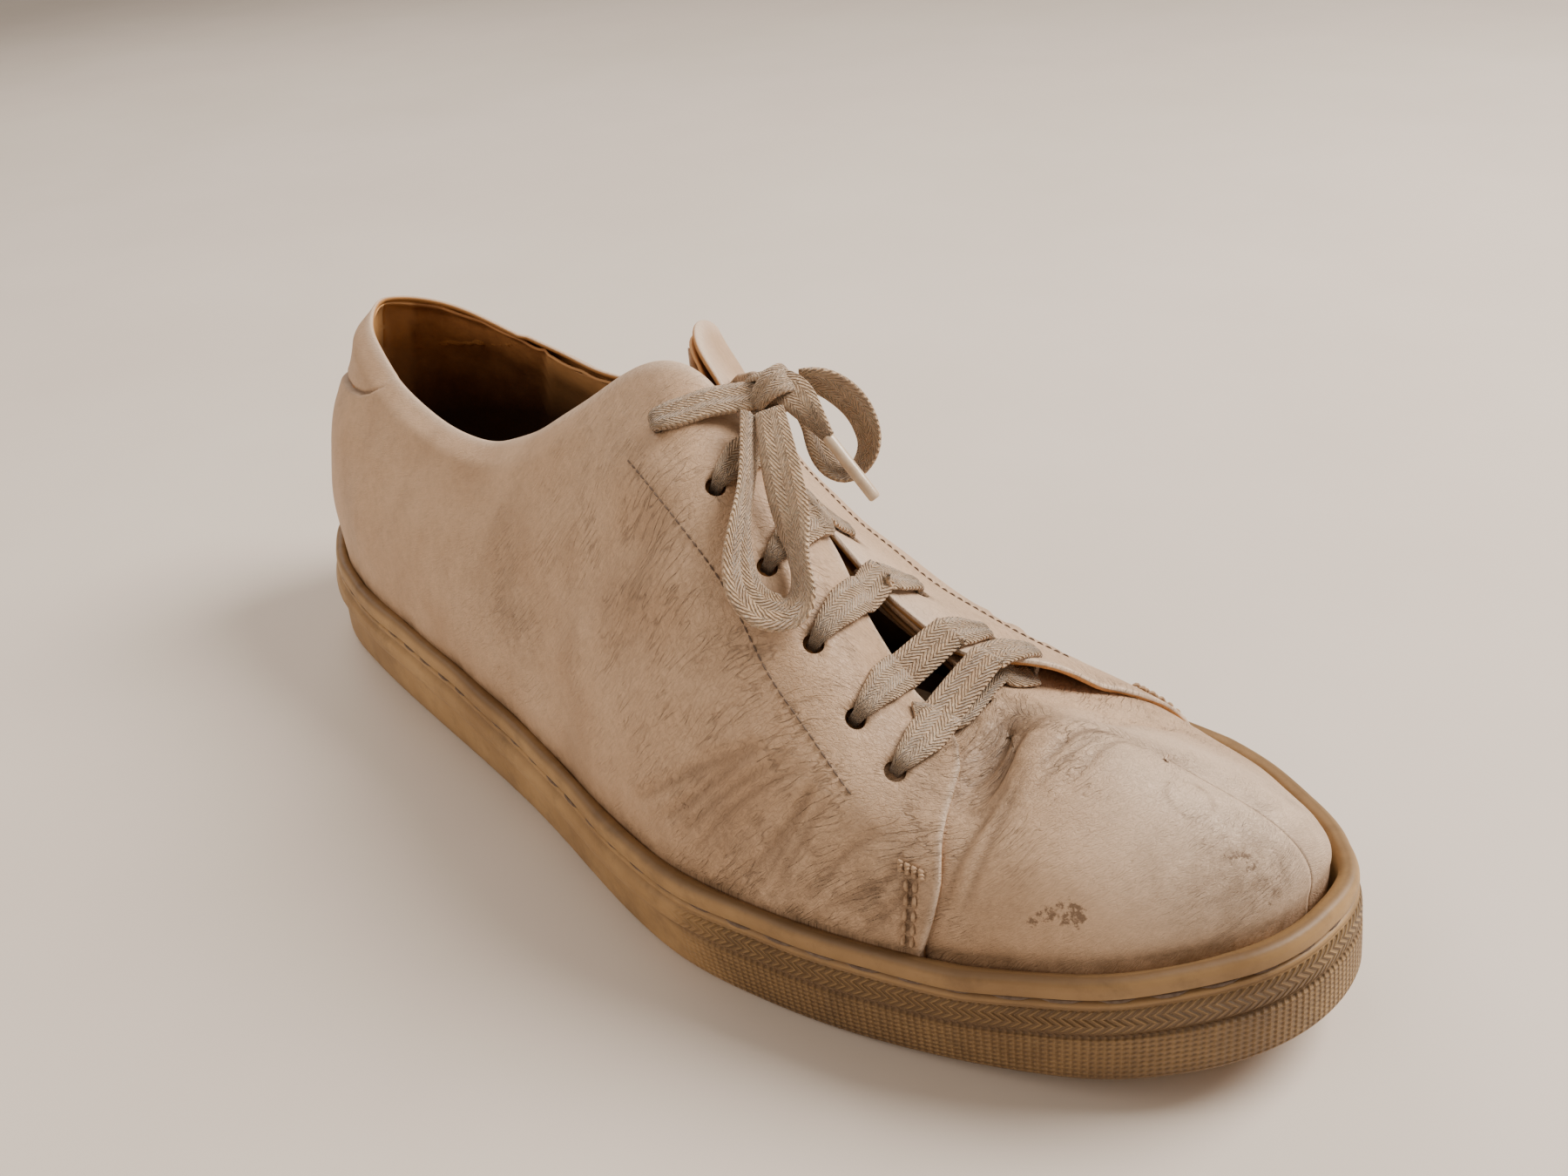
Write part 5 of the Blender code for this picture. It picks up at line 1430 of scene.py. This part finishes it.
def make_quarters(leather):
    """Both quarters and the heel tab in one wall, from front edge round the heel to front edge."""
    levels = np.linspace(0.0, 1.0, OUTER_LEVELS)
    inner_of = np.linspace(0, OUTER_LEVELS - 1, INNER_LEVELS).astype(int)
    parts = []
    for side in (-1, 1):
        rows = even_rows(side, 0.0, QUARTER_ROW, LEATHER_STEP)
        last = rows[-1] - rows[-2]
        rows = np.concatenate([rows[:-1], rows[-1] - last * np.array((0.6, 0.3, 0.12, 0.0))])
        pinch = np.ones(len(rows))
        pinch[-4:] = (1.0, 0.9, 0.62, 0.15)
        row, level = np.meshgrid(rows, levels)
        moved = row + quarter_shift(side, row, level)
        base = surface(side, moved, level)
        normal = surface_normal(side, moved, level)
        relief, fields = leather_fields(base, level)
        half = QUARTER_LEATHER / 2.0 * pinch[None]
        tab, groove = tab_relief(moved, level, 0.060)
        relief = relief + tab + flap_lift(side, moved, level)
        # Painted shade in the heel tab's groove, laid into the crease field.
        fields["crease"] = np.clip(fields["crease"] + 0.85 * groove, 0.0, 0.9)
        front = np.exp(-((QUARTER_ROW - row) / 0.055) ** 2)
        rim = np.exp(-((1.0 - level) / 0.022) ** 2)
        fields["pale"] = np.clip(0.75 * front + 0.55 * rim, 0.0, 0.8)
        # Painted highlight: the medial quarter's top band is painted paler from row 11 forward, where
        # the light falls on it.
        if side > 0:
            highlight_band = np.exp(-((1.0 - level) / 0.25) ** 2) * np.clip((moved - 11.0) / 0.8, 0.0, 1.0)
            fields["pale"] = np.clip(fields["pale"] + 0.55 * highlight_band, 0.0, 0.8)
        points = section_ring(base, normal, relief, half, inner_of)
        foot_outer = foot_points(side, rows, 0.0)
        foot_inner = foot_points(side, rows, QUARTER_LEATHER)
        points = np.concatenate([foot_outer[None], points, foot_inner[None]])
        extra = {}
        for name, field in fields.items():
            rim_field = np.repeat(field[-1:], RIM_STEPS, axis=0)
            extra[name] = np.concatenate([field[:1], field, rim_field, field[inner_of][::-1],
                                          field[:1]])
        inside = np.zeros(len(extra["pale"]))
        inside[1 + OUTER_LEVELS + RIM_STEPS // 2:] = 1.0
        extra["tan"] = np.repeat(inside[:, None], len(rows), axis=1)
        run = arc_length(surface(side, rows, np.full(rows.shape, 0.5)))
        parts.append((points, extra, run))
    (lateral, lateral_fields, left), (medial, medial_fields, right) = parts
    points = np.concatenate([lateral[:, ::-1], medial[:, 1:]], axis=1)
    run = np.concatenate([left[::-1], right[1:]])
    tall = len(points)
    up = np.concatenate([[0.0], levels * 0.07, 0.07 + 0.0003 * np.arange(1, RIM_STEPS + 1),
                         (0.072 + 0.07 * (1.0 - levels[inner_of][::-1])), [0.145], [0.15]])
    caps = end_caps(tall, points.shape[1])
    mesh = lattice("quarters", points, closed_uv(run, up), wrap_up=True, flip=True, caps=caps)
    for name in lateral_fields:
        joined = np.concatenate([lateral_fields[name][:, ::-1], medial_fields[name][:, 1:]], axis=1)
        put_field(mesh, name, joined)
    weld(mesh)
    punch_eyelets(mesh)
    return finish_piece("quarters", mesh, leather, ["upper"])


def punch_eyelets(mesh):
    """Opens each eyelet: the faces inside its circle go, and the border is drawn onto the circle."""
    shape = bmesh.new()
    shape.from_mesh(mesh)
    radius = EYELET_DIAMETER / 2.0
    for side in (-1, 1):
        for row, level in eyelet_rows(side):
            centre, out = eyelet_frame(side, row, level)
            centre = Vector(centre - SHIFT)
            out = Vector(out)
            inside = []
            for vertex in shape.verts:
                away = vertex.co - centre
                if away.length < 0.006:
                    flat = away - out * away.dot(out)
                    if flat.length < radius * 0.95:
                        inside.append(vertex)
            bmesh.ops.delete(shape, geom=inside, context="VERTS")
            border = [e for e in shape.edges if e.is_boundary]
            near = {v for e in border for v in e.verts if (v.co - centre).length < 0.008}
            for vertex in near:
                away = vertex.co - centre
                deep = away.dot(out)
                flat = away - out * deep
                vertex.co = centre + out * deep + flat.normalized() * radius
            rims = [e for e in border if e.is_valid and e.verts[0] in near and e.verts[1] in near]
            bmesh.ops.bridge_loops(shape, edges=rims)
    shape.to_mesh(mesh)
    shape.free()


def ease_centre(mesh):
    """Rounds the vamp over its middle line, where its two halves meet."""
    middle = edge(-1, np.linspace(THROAT_ROW, LAST_ROW, 40)) - SHIFT
    shape = bmesh.new()
    shape.from_mesh(mesh)
    places = np.array([vertex.co[:] for vertex in shape.verts])
    gap, _ = line_distance(places, middle)
    close = [vertex for vertex, far in zip(shape.verts, gap)
             if far < MIDDLE_REACH and not vertex.is_boundary]
    for _ in range(MIDDLE_PASSES):
        bmesh.ops.smooth_vert(shape, verts=close, factor=0.5, use_axis_x=True, use_axis_y=True,
                              use_axis_z=True)
    shape.to_mesh(mesh)
    shape.free()


def make_vamp(leather):
    """Vamp under the quarters' front edges, over the toe, in one wall."""
    levels = np.linspace(0.0, 1.0, OUTER_LEVELS)
    meshes = []
    rows = even_rows(-1, VAMP_ROW, LAST_ROW, LEATHER_STEP, 0.25)
    rows = np.unique(np.append(rows, THROAT_ROW))
    row, level = np.meshgrid(rows, levels)
    for side in (-1, 1):
        base = surface(side, row, level)
        normal = surface_normal(side, row, level)
        other = surface_normal(-side, row[-1], level[-1])
        shared = np.where((rows >= THROAT_ROW)[:, None], normal[-1] + other, normal[-1])
        for k in range(1, SHARED_LEVELS + 1):
            blend = (1.0 - (k - 1) / SHARED_LEVELS) ** 2
            normal[-k] = unit(unit(shared) * blend + normal[-k] * (1.0 - blend))
        relief, fields = leather_fields(base, level)
        under = np.clip((row - 15.0) / 0.4, 0.0, 1.0)
        outer = base + normal * (relief * under - QUARTER_STEP - VAMP_GAP)[..., None]
        foot = foot_points(side, rows, QUARTER_STEP)
        points = np.concatenate([foot[None], outer])
        # Painted highlight: the vamp is painted paler towards the toe, most round a spot on the
        # lateral toe.
        toe_highlight = np.exp(-np.sum((base - TOE_HIGHLIGHT_CENTRE) ** 2, -1) / 0.022 ** 2)
        fields["pale"] = np.clip(0.35 * np.clip((row - 17.0) / 2.0, 0.0, 1.0) + 0.25 * toe_highlight, 0.0, 0.7)
        run = arc_length(surface(side, rows, np.full(rows.shape, 0.3)))
        up = np.append(-0.01, levels * 0.07)
        mesh = lattice("vamp_half", points, closed_uv(run, up), flip=side > 0)
        for name, field in fields.items():
            put_field(mesh, name, np.concatenate([field[:1], field]))
        meshes.append(mesh)
    vamp = join_halves("vamp", meshes, VAMP_WALL, ease_centre)
    dress(vamp, leather, ["upper"])


def make_lining(finish):
    """Tan lining inside quarters and vamp, from just under the rim down to the footbed."""
    levels = np.linspace(0.0, 0.985, 40)
    meshes = []
    rows = even_rows(-1, 0.0, LAST_ROW, 0.0022)
    rows = np.unique(np.append(rows, THROAT_ROW))
    row, level = np.meshgrid(rows, levels)
    for side in (-1, 1):
        base = surface(side, row, level)
        normal = surface_normal(side, row, level)
        depth = np.interp(row, *LINING_DEPTH)
        waves = 0.0004 * np.sin(base[..., 0] * 310.0 + base[..., 2] * 90.0)
        dent = np.minimum(crease_relief(base)[0], 0.0) * (row > 14.8)
        past_seam = row - LINING_SEAM_ROW - level
        front_panel = np.clip(past_seam / 0.12, 0.0, 1.0)
        fold = 0.0007 * np.exp(-(past_seam / 0.10) ** 2)
        depth = depth + np.abs(waves) - dent - fold + 0.0005 * front_panel
        inner = base - normal * depth[..., None]
        foot = foot_points(side, rows, LINING_GAP)
        points = np.concatenate([foot[None], inner])
        run = arc_length(surface(side, rows, np.full(rows.shape, 0.3)))
        mesh = lattice("lining_half", points, closed_uv(run, np.append(-0.01, levels * 0.07)),
                       flip=side > 0)
        heel_strip = np.clip((0.75 + 0.8 * level - row) / 0.12, 0.0, 1.0)
        panel = np.clip(0.60 * front_panel + 0.55 * heel_strip, 0.0, 0.8)
        put_field(mesh, "panel", np.concatenate([panel[:1], panel]))
        meshes.append(mesh)
    dress(join_halves("lining", meshes, LINING_WALL), finish)


def stitch_row(side, line, pitch, length, lift):
    """Starts, ends and outward directions of stitches along a line of (row, level)."""
    pairs = np.asarray(line, float)
    at = np.linspace(0.0, len(pairs) - 1.0, 400)
    places = read(natural_spline(pairs), at) if len(pairs) > 2 else np.stack(
        [np.interp(at, (0.0, 1.0), pairs[:, k]) for k in range(2)], -1)
    face = surface(side, places[:, 0], places[:, 1])
    relief, _ = crease_relief(face)
    normal = surface_normal(side, places[:, 0], places[:, 1])
    face = face + normal * (relief + waviness(face) + lift)[:, None]
    run = arc_length(face)
    starts, ends, outs = [], [], []
    for first in np.arange(0.0, run[-1] - length, pitch):
        pair = [np.array([np.interp(p, run, face[:, k]) for k in range(3)])
                for p in (first, first + length)]
        starts.append(pair[0])
        ends.append(pair[1])
        outs.append(unit(np.array([np.interp(first, run, normal[:, k]) for k in range(3)])))
    return starts, ends, outs


def stitched(name, rows, radius, thread):
    """One piece of the stitches along several lines, each with its side, line, pitch and length."""
    starts, ends, outs = [], [], []
    for row in rows:
        for part, got in zip((starts, ends, outs), stitch_row(*row)):
            part += got
    capsules(name, starts, ends, outs, radius, thread)


def make_stitches():
    """Panel seams in dark thread, front rows and tack in pale; the sole takes the dark one too."""
    dark = plain_finish("dark_thread", (0.10, 0.065, 0.045), (0.17, 0.12, 0.085), 0.85, 900.0)
    pale = plain_finish("soiled_thread", (0.46, 0.31, 0.19), (0.30, 0.19, 0.11), 0.85, 900.0)
    stitched("quarter_stitches", [(-1, QUARTER_STITCHES, 0.0019, 0.00165, 0.00005),
                                  (1, MEDIAL_STITCHES, 0.0019, 0.00165, 0.00005)], 0.00018, dark)
    rows = []
    for row in FRONT_ROWS:
        line = tuple((row + 0.35 * level, level) for level in np.linspace(*FRONT_LEVELS, 6))
        rows += [(side, line, 0.0027, 0.0023, 0.0002) for side in (-1, 1)]
    for nudge in (-0.012, 0.0, 0.012):
        line = tuple((row, level + nudge) for row, level in TACK)
        rows.append((-1, line, 0.0013, 0.0012, 0.0004))
    stitched("front_stitches", rows, 0.00042, pale)
    return dark


def make_tongue(leather):
    """Tongue slid to the medial side, under the medial facing."""
    rows = np.linspace(11.4, 16.0, 60)
    levels = np.linspace(0.45, 0.97, 40)
    row, level = np.meshgrid(rows, levels)
    normal = surface_normal(1, row, level)
    middle = 0.0042 + 0.0003 * np.sin(row * 9.0) * np.sin(level * 20.0)
    across = np.minimum(np.minimum(row - rows[0], rows[-1] - row) / 0.25,
                        np.minimum(level - levels[0], levels[-1] - level) / 0.03)
    half = 0.0011 * np.sqrt(np.clip(across, 0.02, 1.0))
    base = surface(1, row, level)
    sheets = [base - normal * (middle + sign * half)[..., None] for sign in (-1.0, 1.0)]
    points = np.concatenate([sheets[0], sheets[1][::-1]])
    uv = closed_uv(arc_length(base[20]), np.append(np.linspace(0.0, 0.08, len(points)), 0.081))
    wide = len(rows)
    tall = len(points)
    mesh = lattice("tongue_padded", points, uv, wrap_up=True, caps=end_caps(tall, wide))
    for name, value in (("dirt_and_shade", 0.2), ("wrinkle", 0.4), ("pale", 0.1)):
        put_field(mesh, name, np.full(len(mesh.vertices), value))
    finish_piece("tongue_padded", weld(mesh), leather, ["tongue"])


def dress_insole(finish):
    """The source's own footbed stays, with the lining's finish."""
    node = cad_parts["insole"]
    node = bpy.data.objects[node] if isinstance(node, str) else node
    for place in node.material_slots:
        place.material = finish


set_camera()
set_studio()
make_laces()
leather = leather_finish("beige_leather", LEATHER_LIGHT, LEATHER_DARK)
lining = lining_finish()
stations = make_sole()
thread = make_stitches()
make_sole_stitches(*stations, thread)
make_quarters(leather)
make_vamp(leather)
make_lining(lining)
make_tongue(leather)
dress_insole(lining)
